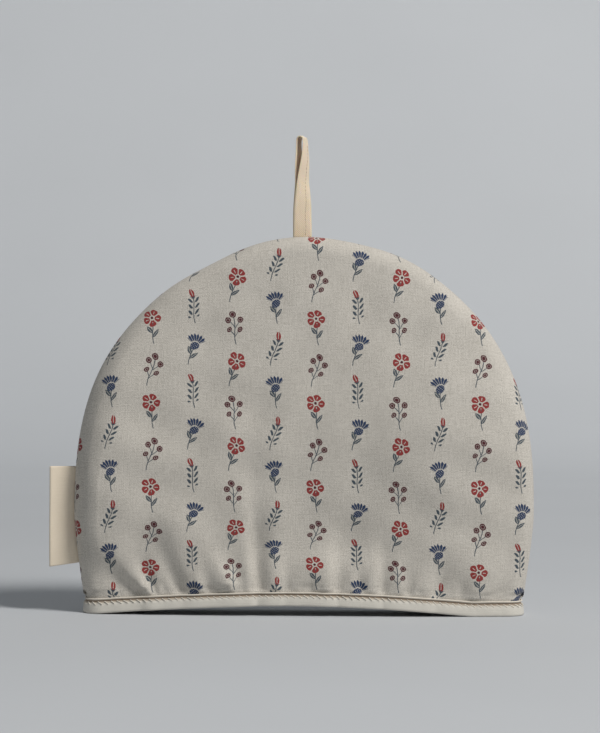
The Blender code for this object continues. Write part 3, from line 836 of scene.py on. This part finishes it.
def posyGrid(tree, vector):
    # a half-drop layout: the place within each posy's own cell, and which of the four posies it is
    look = cottonPrint
    shaky = wire(tree, "ShaderNodeTexNoise", {"Vector": vector, "Scale": look["shakeScale"], "Detail": 2.0})
    shake = vectorMath(tree, "SUBTRACT", shaky.outputs["Color"], (0.5, 0.5, 0.5))
    drawn = vectorMath(tree, "MULTIPLY_ADD", shake, (look["shake"], look["shake"], 0.0), vector)
    acrossCloth, upCloth = partsOf(tree, drawn)
    across = (acrossCloth + look["startAcross"]) / look["columnPitch"]
    column = across.floor()
    up = (upCloth + look["startUp"]) / look["rowPitch"] + column.modulo(2.0) * 0.5
    row = up.floor()
    kind = (row * 2.0 + column).modulo(4.0)
    x0 = (across - column - 0.5) * look["columnPitch"]
    y0 = (up - row - 0.5) * look["rowPitch"]
    lean = (column + row).modulo(2.0).timesPlus(2 * look["lean"], -look["lean"])
    y = y0.timesPlus(math.cos(look["lean"]), x0 * lean)
    x = x0.timesPlus(math.cos(look["lean"]), -(y0 * lean))
    x = x - (y * look["bendPace"] + look["bendFrom"]).sine() * look["bend"]
    return x, y, [kind.isNear(float(k)) for k in range(4)]


leaf = {
    "stagger": 1.7, "drop": 6.4, "lean": (0.62, 0.785), "middle": 3.6, "taper": 0.105, "half": 1.35,
    "veinHalf": 0.2, "veinReach": 2.4, "veinPale": 0.75,
}


def drawnLeaves(apart, y, side):
    # a pair of lens-shaped leaves, staggered
    leafY = side.timesPlus(leaf["stagger"], y) + leaf["drop"]
    run, rise = leaf["lean"]
    fromMiddle = apart.timesPlus(run, leafY * rise) - leaf["middle"]
    aside = (apart * rise - leafY * run).size()
    blade = (fromMiddle * fromMiddle * leaf["taper"] + aside - leaf["half"]).inked()
    vein = inside(aside - leaf["veinHalf"], fromMiddle.size() - leaf["veinReach"])
    return blade * (1.0 - vein * leaf["veinPale"])


blossom = {
    "up": 6.6, "petals": 5, "from": 2.0, "reach": 6.7, "notch": 2.3, "notchPower": 3.0, "gap": 0.42,
    "lineHalf": 0.26, "lineFrom": 3.0, "lineTo": 5.3, "eye": 1.0,
}


def drawnBlossom(x, y):
    # round petals with a gap between them and a drawn line in each, and the eye
    up = y - blossom["up"]
    radius = far(x, up)
    petal = (angleOf(up, x) * (blossom["petals"] / turn) + 0.25).pingpong() * 2.0
    arc = radius * (math.pi / blossom["petals"])
    edge = petal.power(blossom["notchPower"]).timesPlus(-blossom["notch"], blossom["reach"])
    petals = inside(radius - edge, blossom["from"] - radius, blossom["gap"] - (1.0 - petal) * arc)
    line = inside(petal * arc - blossom["lineHalf"], blossom["lineFrom"] - radius, radius - blossom["lineTo"])
    return petals * (1.0 - line), (radius - blossom["eye"]).inked()


thistle = {
    "up": 2.0, "spikeTurn": 0.30, "spike": 1.9, "reach": 9.3, "spread": 0.98, "from": 3.7, "gap": 0.13,
    "squash": 1.12, "base": 3.3, "dotPace": 3.3, "dotSize": 0.62, "sharp": 6.0,
}


def drawnThistle(x, y):
    # a fan of narrow petals on a rounded, dotted base
    up = y - thistle["up"]
    radius = far(x, up)
    swing = angleOf(x, up)
    spike = (swing * (1 / thistle["spikeTurn"]) + 0.5).pingpong() * 2.0
    fan = inside(
        radius - spike * -thistle["spike"] - thistle["reach"],
        (swing.size() - thistle["spread"]) * thistle["sharp"],
        thistle["from"] - radius,
        thistle["gap"] - (1.0 - spike) * (radius * (thistle["spikeTurn"] / 2)),
    )
    dots = (x * thistle["dotPace"]).sine() * (up * thistle["dotPace"]).sine()
    dots = (dots - thistle["dotSize"]).capped(thistle["sharp"])
    base = (far(x, up * thistle["squash"]) - thistle["base"]).inked()
    return base * (1.0 - dots) + fan


# the top one's (up, radius), and (away from the stem, up, radius) of those that stand staggered on both sides
berries = {
    "top": (9.6, 2.45), "pairs": ((4.5, 5.4, 2.2), (4.0, -1.6, 1.9)), "stagger": 0.7,
    "ringIn": 1.0, "ringHalf": 0.13, "ringPale": 0.8,
    "twigLean": (0.80, 0.60), "twigHalf": 0.27, "upperFoot": -0.4, "upperReach": 3.4,
    "lowerFoot": -6.6, "lowerReach": 3.0, "lowerTop": -2.4,
}


def drawnBerries(x, y, apart, side):
    # berries with a pale ring in each, and the forked twig that holds them
    lowered = side.timesPlus(berries["stagger"], y)
    topUp, topSize = berries["top"]
    berry = far(x, y - topUp) - topSize
    for away, up, size in berries["pairs"]:
        berry = berry.least(far(apart - away, lowered - up) - size)
    ring = ((berry + berries["ringIn"]).size() - berries["ringHalf"]).inked()
    run, rise = berries["twigLean"]

    def twig(foot, reach):
        return inside((apart * run - (lowered - foot) * rise).size() - berries["twigHalf"], apart - reach)

    upper = twig(berries["upperFoot"], berries["upperReach"]) * (berries["upperFoot"] - lowered).inked()
    lower = twig(berries["lowerFoot"], berries["lowerReach"]) * (lowered - berries["lowerTop"]).inked()
    return berry.inked() * (1.0 - ring * berries["ringPale"]), upper.most(lower)


sprig = {
    "lean": 0.85, "pitch": 4.3, "leafMiddle": 2.5, "taper": 0.30, "leafHigh": 2.15, "slim": 0.76,
    "soft": 0.16, "from": -8.2, "to": 7.2, "stemClear": 0.55, "reach": 4.6,
    "bud": 3.1, "budUp": 9.6, "budSlim": 1.75, "budSplit": 0.22,
    "sepal": 1.7, "sepalUp": 6.9, "sepalSlim": 1.2, "sepalTop": 7.6,
}


def drawnSprig(x, y, apart):
    # rows of small leaves up the stem, and a bud in its sepal on top
    nearest = ((y - apart * sprig["lean"]) / sprig["pitch"]).pingpong() * sprig["pitch"]
    aside = apart - sprig["leafMiddle"]
    wide = aside * aside * sprig["taper"]
    inRows = inside(y - sprig["to"], sprig["from"] - y, sprig["stemClear"] - apart, apart - sprig["reach"])
    leaves = ((sprig["leafHigh"] - nearest) * sprig["slim"] + wide - 1.0).inked(sprig["soft"]) * inRows
    bud = inside(far(x * sprig["budSlim"], y - sprig["budUp"]) - sprig["bud"], sprig["budSplit"] - apart)
    sepal = far(x * sprig["sepalSlim"], y - sprig["sepalUp"]) - sprig["sepal"]
    return leaves, bud, inside(sepal, y - sprig["sepalTop"])


stem = {"half": 0.33, "foot": -12.8, "tops": (2.6, 0.6, 8.0, 7.5)}      # a height for each of the four posies


def drawnPosies(tree, vector):
    # the masks of the four inks: grey, red, navy and maroon
    x, y, kinds = posyGrid(tree, vector)
    apart, side = x.size(), x.sign()
    isBlossom, isThistle, isBerries, isSprig = kinds
    top = sum(kind * high for kind, high in zip(kinds, stem["tops"]))
    stalk = inside(apart - stem["half"], y - top, stem["foot"] - y)
    leaves = drawnLeaves(apart, y, side) * (isBlossom + isThistle)
    petals, eye = drawnBlossom(x, y)
    navy = drawnThistle(x, y) * isThistle
    maroon, twigs = drawnBerries(x, y, apart, side)
    small, bud, sepal = drawnSprig(x, y, apart)
    grey = stalk.most(leaves).most(twigs * isBerries).most(small * isSprig).most(sepal * isSprig)
    red = (petals * isBlossom).most(bud * isSprig)
    return grey, red, navy, (maroon * isBerries).most(eye * isBlossom)


def mixed(parts, shares, middle=0.0):
    # the named readings, each counted from its middle and times its share
    return sum((parts[name] - middle) * share for name, share in shares.items())


def printedCotton():
    material, tree, shader = newMaterial("printed cotton")
    look = cottonPrint
    vector = clothMillimetres(tree)
    weave = plainWeave(tree, vector, look["threadPitch"])
    cloudy = noiseAt(tree, vector, look["cloudScale"], detail=3.0)
    lengthwise, crosswise = (noiseAt(tree, vector, 1.0, rough=0.6, stretch=slub) for slub in look["slubs"])
    grain = noiseAt(tree, vector, look["grainScale"], rough=0.7)
    streaks = lengthwise * 0.5 + crosswise * 0.5
    parts = {"streaks": streaks, "grain": grain, "cloudy": cloudy, "weave": weave}
    tone = (mixed(parts, look["toneOf"], 0.5) + look["toneLevel"]).capped(1.0)
    colour = blend(tree, tone.socket, look["shade"], look["ground"])
    # a few dark specks of seed
    fleck = look["flecks"]
    inputs = {"Vector": vector, "Scale": fleck["scale"], "Randomness": 1.0}
    spots = wire(tree, "ShaderNodeTexVoronoi", inputs)
    chance = wire(tree, "ShaderNodeSeparateColor", {0: spots.outputs["Color"]}).outputs[0]
    away = Reading(tree, spots.outputs["Distance"]) * (1 / fleck["scale"])
    seed = (away - fleck["radius"]).inked() * Reading(tree, chance).over(fleck["rare"])
    colour = blend(tree, (seed * fleck["dark"]).socket, colour, fleck["colour"])
    # ink sits on the threads, not between them
    cover = mixed(parts, look["coverOf"]).made("ADD", look["coverLevel"], clamp=True)
    for mask, ink in zip(drawnPosies(tree, vector), look["inks"].values()):
        colour = blend(tree, (mask * cover).socket, colour, ink)
    rough = grain.timesPlus(look["roughGrain"], look["rough"])
    finishCloth(tree, shader, colour, mixed(parts, look["heightOf"]), look["bump"], rough)
    return material


plainLook = {
    "bump": 0.00025,         # m
    "streak": (0.06, 1.6, 1.0), "cloudScale": 0.06, "grainScale": 2.8,
    "toneOf": {"threads": 0.8, "grain": 0.5, "cloudy": 0.6, "weave": 0.3}, "toneLevel": -0.70,
    "contrast": 1.1, "heightOf": {"weave": 0.6, "threads": 0.8, "grain": 0.3}, "strength": 0.6,
    "roughGrain": 0.12, "rough": 0.82,
}
# painted shade and highlight on the binding: "dark" and "deep" paint the shadow in the groove under the lip,
# "lip" paints the light on the lip's fold
grooveShadeLine = {               # mm of flat cloth
    "at": runAlong(*np.array(lipToFoot).T)[grooveAt] * 1000,
    "half": 0.60, "jag": 2.8, "lipSoft": 0.25, "soft": 0.3,
    "dark": (0.270, 0.205, 0.150), "deep": (0.430, 0.375, 0.310), "lip": (0.74, 0.685, 0.600),
}
plainFinishes = {
    "lining cotton": {"ground": (0.62, 0.58, 0.51), "shade": (0.55, 0.51, 0.44), "pitch": 0.9},
    "binding cotton": {
        "ground": (0.670, 0.645, 0.585), "shade": (0.590, 0.565, 0.508), "pitch": 0.55,
        "bump": 0.00022, "line": grooveShadeLine,
    },
    "loop tape cotton": {
        "ground": (0.85, 0.715, 0.555), "shade": (0.72, 0.59, 0.44), "pitch": 1.1,
        "bump": 0.00045, "strength": 0.9,
    },
    "label ribbon cotton": {
        "ground": (0.88, 0.775, 0.620), "shade": (0.81, 0.70, 0.555), "pitch": 0.6,
        "bump": 0.00018, "streak": (1.5, 0.07, 1.0),
    },
}
tapeGlow = {"Weight": 0.5, "Radius": (1.0, 0.62, 0.34), "Scale": 0.0016}      # light through the tape


def paintedGrooveShade(tree, vector, threads, colour, line):
    # painted shade: a dark groove under the lip with an uneven lower edge and softer shade between the stitch
    # teeth; and a painted highlight: the lip above it tinted lighter
    below = partsOf(tree, vector)[1] - line["at"]
    edge = threads * line["jag"] + line["half"]
    started = (-line["half"] - below).inked(line["soft"])
    lip = (below + line["half"]).inked(line["lipSoft"])
    colour = blend(tree, lip.socket, colour, line["lip"])
    for end, shade in ((edge, line["deep"]), (line["half"], line["dark"])):
        colour = blend(tree, ((below - end).inked(line["soft"]) * started).socket, colour, shade)
    return colour


def plainCloth(name, **changes):
    # an unprinted cotton: lining, binding, tape or ribbon
    look = {**plainLook, **changes}
    material, tree, shader = newMaterial(name)
    vector = clothMillimetres(tree)
    weave = twill(tree, vector, look["pitch"])
    cloudy = noiseAt(tree, vector, look["cloudScale"], detail=3.0)
    threads = noiseAt(tree, vector, 1.0, stretch=look["streak"])
    grain = noiseAt(tree, vector, look["grainScale"], detail=3.0, rough=0.7)
    parts = {"threads": threads, "grain": grain, "cloudy": cloudy, "weave": weave}
    tone = (mixed(parts, look["toneOf"]) + look["toneLevel"]).capped(look["contrast"])
    colour = blend(tree, tone.socket, look["shade"], look["ground"])
    # the binding gets its painted groove shade and painted lip highlight here
    if "line" in look:
        colour = paintedGrooveShade(tree, vector, threads, colour, look["line"])
    rough = grain.timesPlus(look["roughGrain"], look["rough"])
    finishCloth(tree, shader, colour, mixed(parts, look["heightOf"]), look["bump"], rough, look["strength"])
    return material


threadFinishes = {
    "cream sewing thread": {"colour": (0.80, 0.76, 0.68), "dark": (0.66, 0.61, 0.53)},
    # the tan thread's colours are partly its own and partly painted shade for the sunk tape stitches
    "tan thread with painted shade": {"colour": (0.58, 0.44, 0.30), "dark": (0.42, 0.30, 0.19)},
}
threadLook = {
    "scales": (2600.0, 90.0), "toneOf": {"fibre": 0.6, "slow": 0.6}, "toneLevel": -0.1,
    "bump": 0.0001, "strength": 0.5, "sheen": 0.2, "roughFibre": 0.15, "rough": 0.72,
}


def threadMaterial(name, colour, dark):
    look = threadLook
    material, tree, shader = newMaterial(name)
    place = wire(tree, "ShaderNodeTexCoord").outputs["Object"]
    fibre, slow = (noiseAt(tree, place, scale) for scale in look["scales"])
    tone = (mixed({"fibre": fibre, "slow": slow}, look["toneOf"]) + look["toneLevel"]).capped(1.0)
    rough = fibre.timesPlus(look["roughFibre"], look["rough"])
    toned = blend(tree, tone.socket, dark, colour)
    finishCloth(tree, shader, toned, fibre, look["bump"], rough, look["strength"], look["sheen"])
    return material


stitches = {
    "pitch": 0.00493, "length": 0.0038, "thread": 0.00036, "lift": 0.00016, "slant": -38.0, "uneven": 0.12,
    "out": 0.00020,          # how far in front of the band
    "facesUp": 0.6,
}
tapeStitchSizes = dict(stitches, pitch=0.0026, length=0.0019, thread=0.00022, lift=0.00012, slant=8.0)


def stitchTree():
    # stitches along a path, each a bowed strand turned by its slant in degrees
    tree = bpy.data.node_groups.new("sewn stitches", "GeometryNodeTree")
    tree.is_modifier = True
    sockets = {"Path": "Geometry", "Seed": "Int", "Thread finish": "Material"}
    sockets |= dict.fromkeys(("Pitch", "Length", "Thread", "Lift", "Slant", "Uneven"), "Float")
    for name, kind in sockets.items():
        tree.interface.new_socket(name, in_out="INPUT", socket_type="NodeSocket" + kind)
    tree.interface.new_socket("Stitches", in_out="OUTPUT", socket_type="NodeSocketGeometry")
    given = tree.nodes.new("NodeGroupInput").outputs
    result = tree.nodes.new("NodeGroupOutput")

    def made(kind, inputs=None, **settings):
        return wire(tree, kind, inputs, **settings).outputs[0]

    def amount(operation, a, b):
        return made("ShaderNodeMath", {0: a, 1: b}, operation=operation)

    path = made("GeometryNodeMeshToCurve", {"Mesh": given["Path"]})
    spaced = made("GeometryNodeResampleCurve", {"Curve": path, "Length": given["Pitch"]}, mode="LENGTH")
    half = amount("MULTIPLY", given["Length"], 0.5)
    sunk = amount("MULTIPLY", given["Lift"], -1.0)
    start = made("ShaderNodeCombineXYZ", {0: amount("MULTIPLY", half, -1.0), 2: sunk})
    high = made("ShaderNodeCombineXYZ", {2: amount("MULTIPLY", given["Lift"], 2.0)})
    end = made("ShaderNodeCombineXYZ", {0: half, 2: sunk})
    bow = {"Resolution": 6, "Start": start, "Middle": high, "End": end}
    bow = made("GeometryNodeCurveQuadraticBezier", bow)
    section = {"Resolution": 6, "Radius": given["Thread"]}
    section = made("GeometryNodeCurvePrimitiveCircle", section, mode="RADIUS")
    strand = made("GeometryNodeCurveToMesh", {"Curve": bow, "Profile Curve": section, "Fill Caps": True})
    heading = made("GeometryNodeInputTangent")
    heading = made("FunctionNodeAlignRotationToVector", {"Vector": heading}, axis="X")
    outward = made("GeometryNodeInputNamedAttribute", {"Name": "outward"}, data_type="FLOAT_VECTOR")
    facing = {"Rotation": heading, "Vector": outward}
    facing = made("FunctionNodeAlignRotationToVector", facing, axis="Z", pivot_axis="X")
    least = amount("MULTIPLY", given["Uneven"], -1.0)
    chance = {2: least, 3: given["Uneven"], "Seed": given["Seed"]}
    chance = wire(tree, "FunctionNodeRandomValue", chance, data_type="FLOAT").outputs[1]
    swing = amount("ADD", amount("MULTIPLY", given["Slant"], math.radians(1)), chance)
    tilt = made("ShaderNodeCombineXYZ", {2: swing})
    turned = made("FunctionNodeRotateRotation", {0: facing, 1: tilt}, rotation_space="LOCAL")
    sizes = made("ShaderNodeCombineXYZ", {0: amount("ADD", chance, 1.0), 1: 1.0, 2: 1.0})
    placed = {"Points": spaced, "Instance": strand, "Rotation": turned, "Scale": sizes}
    real = made("GeometryNodeRealizeInstances", {0: made("GeometryNodeInstanceOnPoints", placed)})
    finished = made("GeometryNodeSetMaterial", {"Geometry": real, "Material": given["Thread finish"]})
    tree.links.new(finished, result.inputs[0])
    return tree


def sewAlong(name, line, facing, closed, tree, sizes, material, seed):
    # stitches along a line of points, each with its outward vector
    count = len(line)
    edges = [(k, (k + 1) % count) for k in range(count if closed else count - 1)]
    mesh = bpy.data.meshes.new(name + " path")
    mesh.from_pydata(line.tolist(), edges, [])
    outward = mesh.attributes.new("outward", "FLOAT_VECTOR", "POINT")
    outward.data.foreach_set("vector", facing.astype(np.float32).ravel())
    guide = placedPiece(name + " path", mesh)
    modifier = guide.modifiers.new("stitches", "NODES")
    modifier.node_group = tree
    values = {key.capitalize(): size for key, size in sizes.items()}
    values |= {"Seed": seed, "Thread finish": material}
    for socket in tree.interface.items_tree:
        if socket.in_out == "INPUT" and socket.name in values:
            modifier[socket.identifier] = values[socket.name]
    bpy.context.view_layer.update()
    graph = bpy.context.evaluated_depsgraph_get()
    made = bpy.data.meshes.new_from_object(guide.evaluated_get(graph))
    guide.modifiers.remove(modifier)
    bpy.data.objects.remove(guide, do_unlink=True)
    made.name = name
    made.shade_smooth()
    return placedPiece(name, made)


def bindingSeam():
    # the stitched line round the binding, and which way each stitch faces
    rings, normal, _ = bindingRings()
    facing = np.column_stack([normal, np.full(len(normal), stitches["facesUp"])])
    facing /= np.linalg.norm(facing, axis=1, keepdims=True)
    return rings[grooveAt + stitchesBelow] + [bodyShift, 0, 0] + facing * stitches["out"], facing


def tapeSeam(middle, normal):
    # the stitched line up the front leg, off the tape's middle and not quite straight
    first, end = loop["seamRows"]
    rows = np.arange(end - first)
    column = loop["seamColumn"] + loop["seamSway"] * np.sin(rows * loop["seamSwayUp"])
    low = np.floor(column).astype(int)
    share = (column - low)[:, None]
    leg = middle[first:end]
    line = leg[rows, low] * (1 - share) + leg[rows, low + 1] * share
    facing = normal[first:end][rows, low]
    facing = facing * np.sign(-facing[:, 1].mean())
    return line + facing * (loop["thickness"] / 2 + loop["seamOff"]), facing


printed = printedCotton()
lining, bindingCloth, tapeCloth, ribbonCloth = (
    plainCloth(name, **look) for name, look in plainFinishes.items()
)
for name, value in tapeGlow.items():
    tapeCloth.node_tree.nodes["Principled BSDF"].inputs["Subsurface " + name].default_value = value
creamThread, tanThreadWithPaintedShade = (threadMaterial(name, **look) for name, look in threadFinishes.items())
print("stage 2: finishes wired")

frontGathers = frontTucks + puckersAlongHem(seeds["frontPuckers"])
backGathers = backTucks + puckersAlongHem(seeds["backPuckers"])
frontPanel = paddedPanel(
    "front_cloth", -1, frontFolds, frontGathers, frontSwells, seeds["frontWadding"], [printed, lining]
)
backPanel = paddedPanel(
    "back_cloth", 1, backFolds, backGathers, backSwells, seeds["backWadding"], [printed, lining]
)
print("stage 3: padded panels made", len(frontPanel.data.polygons))

bindingStrip = hemBinding(bindingCloth)
loopMiddle = loopSurface()
loopNormal = gridNormals(loopMiddle)
loopTape, tapeLength, tapeWidth = stripMesh(
    "loop_tape_strip", loopMiddle, loopNormal, loop["thickness"], tapeCloth, loop["bakeLengths"]
)
labelMiddle = labelSurface()
labelRibbon, ribbonLength, ribbonWidth = stripMesh(
    "label_ribbon_strip", labelMiddle, gridNormals(labelMiddle), label["ply"], ribbonCloth,
    label["bakeLengths"],
)
print("stage 4: binding, loop and label made", tapeLength, tapeWidth, ribbonLength, ribbonWidth)

stitching = stitchTree()
bindingStitches = sewAlong(
    "binding_stitches", *bindingSeam(), True, stitching, stitches, creamThread, seeds["bindingStitches"]
)
tapeStitches = sewAlong(
    "tape_stitches", *tapeSeam(loopMiddle, loopNormal), False,
    stitching, tapeStitchSizes, tanThreadWithPaintedShade, seeds["tapeStitches"],
)
print("stage 5: stitches sewn", len(bindingStitches.data.polygons), len(tapeStitches.data.polygons))

for piece, nodes, slot in (
    (frontPanel, ["front_panel"], "printed_cotton"),
    (backPanel, ["back_panel"], "printed_cotton"),
    (bindingStrip, ["hem_binding"], "binding_cotton"),
    (loopTape, ["hanging_loop"], "loop_tape"),
    (labelRibbon, ["side_label"], "label_ribbon"),
    (bindingStitches, [], "binding_cotton"),
    (tapeStitches, [], "loop_tape"),
):
    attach(piece, "root")
    if nodes:
        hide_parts(*nodes)
print("stage 6: pieces ride on the frame")


def lookingAt(place, aim):
    return (Vector(aim) - Vector(place)).to_track_quat("-Z", "Y")


studio = {
    "floorColour": (0.54, 0.56, 0.585), "paintedLightBackdropColour": (0.80, 0.825, 0.855),
    "mottle": (0.94, 0.94, 0.94), "mottleScale": 3.0, "wallStartY": 0.3,
    "backY": 3.4, "nearY": -3.2, "halfX": 4.2, "curve": 1.6, "topZ": 4.2,
    "curvePoints": 33, "acrossPoints": 5, "rough": 0.9, "gloss": 0.1,
    "worldColour": (0.93, 0.97, 1.0), "worldLevel": 0.22,
}


def studioFloor():
    bend = np.linspace(0, math.pi / 2, studio["curvePoints"])
    curveY = studio["backY"] - studio["curve"] + studio["curve"] * np.sin(bend)
    y = np.concatenate([[studio["nearY"]], curveY, [studio["backY"]]])
    z = np.concatenate([[0.0], studio["curve"] * (1 - np.cos(bend)), [studio["topZ"]]])
    x = np.linspace(-studio["halfX"], studio["halfX"], studio["acrossPoints"])
    points = [(px, py, pz) for py, pz in zip(y, z) for px in x]
    floor = meshPiece("studio_floor", points, quadGrid(len(y), len(x)))
    material, tree, shader = newMaterial("pale studio floor")
    place = wire(tree, "ShaderNodeTexCoord").outputs["Object"]
    # painted light: the backdrop is painted lighter than the floor, standing in for the key light that falls
    # off before it reaches the backdrop
    inputs = {0: partsOf(tree, place)[1], 1: studio["wallStartY"], 2: studio["backY"]}
    paintedLightShare = wire(tree, "ShaderNodeMapRange", inputs, interpolation_type="SMOOTHSTEP")
    colour = blend(tree, paintedLightShare.outputs[0], studio["floorColour"], studio["paintedLightBackdropColour"])
    mottle = noiseAt(tree, place, studio["mottleScale"])
    colour = blend(tree, mottle.socket, colour, studio["mottle"], "MULTIPLY")
    tree.links.new(colour, shader.inputs["Base Color"])
    shader.inputs["Roughness"].default_value = studio["rough"]
    shader.inputs["Specular IOR Level"].default_value = studio["gloss"]
    floor.data.materials.append(material)


studioFloor()
keyLight = {
    "place": (2.6, -2.35, 3.75), "aim": (0.0, 0.0, 0.16), "size": 1.5, "watts": 215.0,
    "colour": (1.0, 0.975, 0.94),
}
lampData = bpy.data.lights.new("key light", "AREA")
lampData.shape = "DISK"
lampData.size = keyLight["size"]
lampData.energy = keyLight["watts"]
lampData.color = keyLight["colour"]
lamp = placedPiece("key light", lampData)
lamp.location = keyLight["place"]
lamp.rotation_euler = lookingAt(keyLight["place"], keyLight["aim"]).to_euler()
world = bpy.context.scene.world or bpy.data.worlds.new("studio air")
bpy.context.scene.world = world
world.use_nodes = True
sky = world.node_tree.nodes.get("Background") or world.node_tree.nodes.new("ShaderNodeBackground")
sky.inputs["Color"].default_value = (*studio["worldColour"], 1.0)
sky.inputs["Strength"].default_value = studio["worldLevel"]

shot = {
    "distance": 2.0, "middleZ": 0.1845, "middleX": 0.0056,
    "pitch": math.radians(1.0), "roll": math.radians(0.36),
    "lens": 131.5, "sensor": 36.0, "farthest": 50.0,
}
camera = placedPiece("camera", bpy.data.cameras.new("camera"))
camera.data.lens = shot["lens"]
camera.data.sensor_width = shot["sensor"]
camera.data.clip_end = shot["farthest"]
rise = shot["distance"] * math.tan(shot["pitch"])
eye = Vector((shot["middleX"], -shot["distance"], shot["middleZ"] + rise))
heading = lookingAt(eye, (shot["middleX"], 0, shot["middleZ"])).to_matrix().to_4x4()
camera.matrix_world = Matrix.Translation(eye) @ (heading @ Matrix.Rotation(shot["roll"], 4, "Z"))
bpy.context.scene.camera = camera
bpy.context.scene.view_settings.view_transform = "Standard"
print("stage 7: studio and camera set")
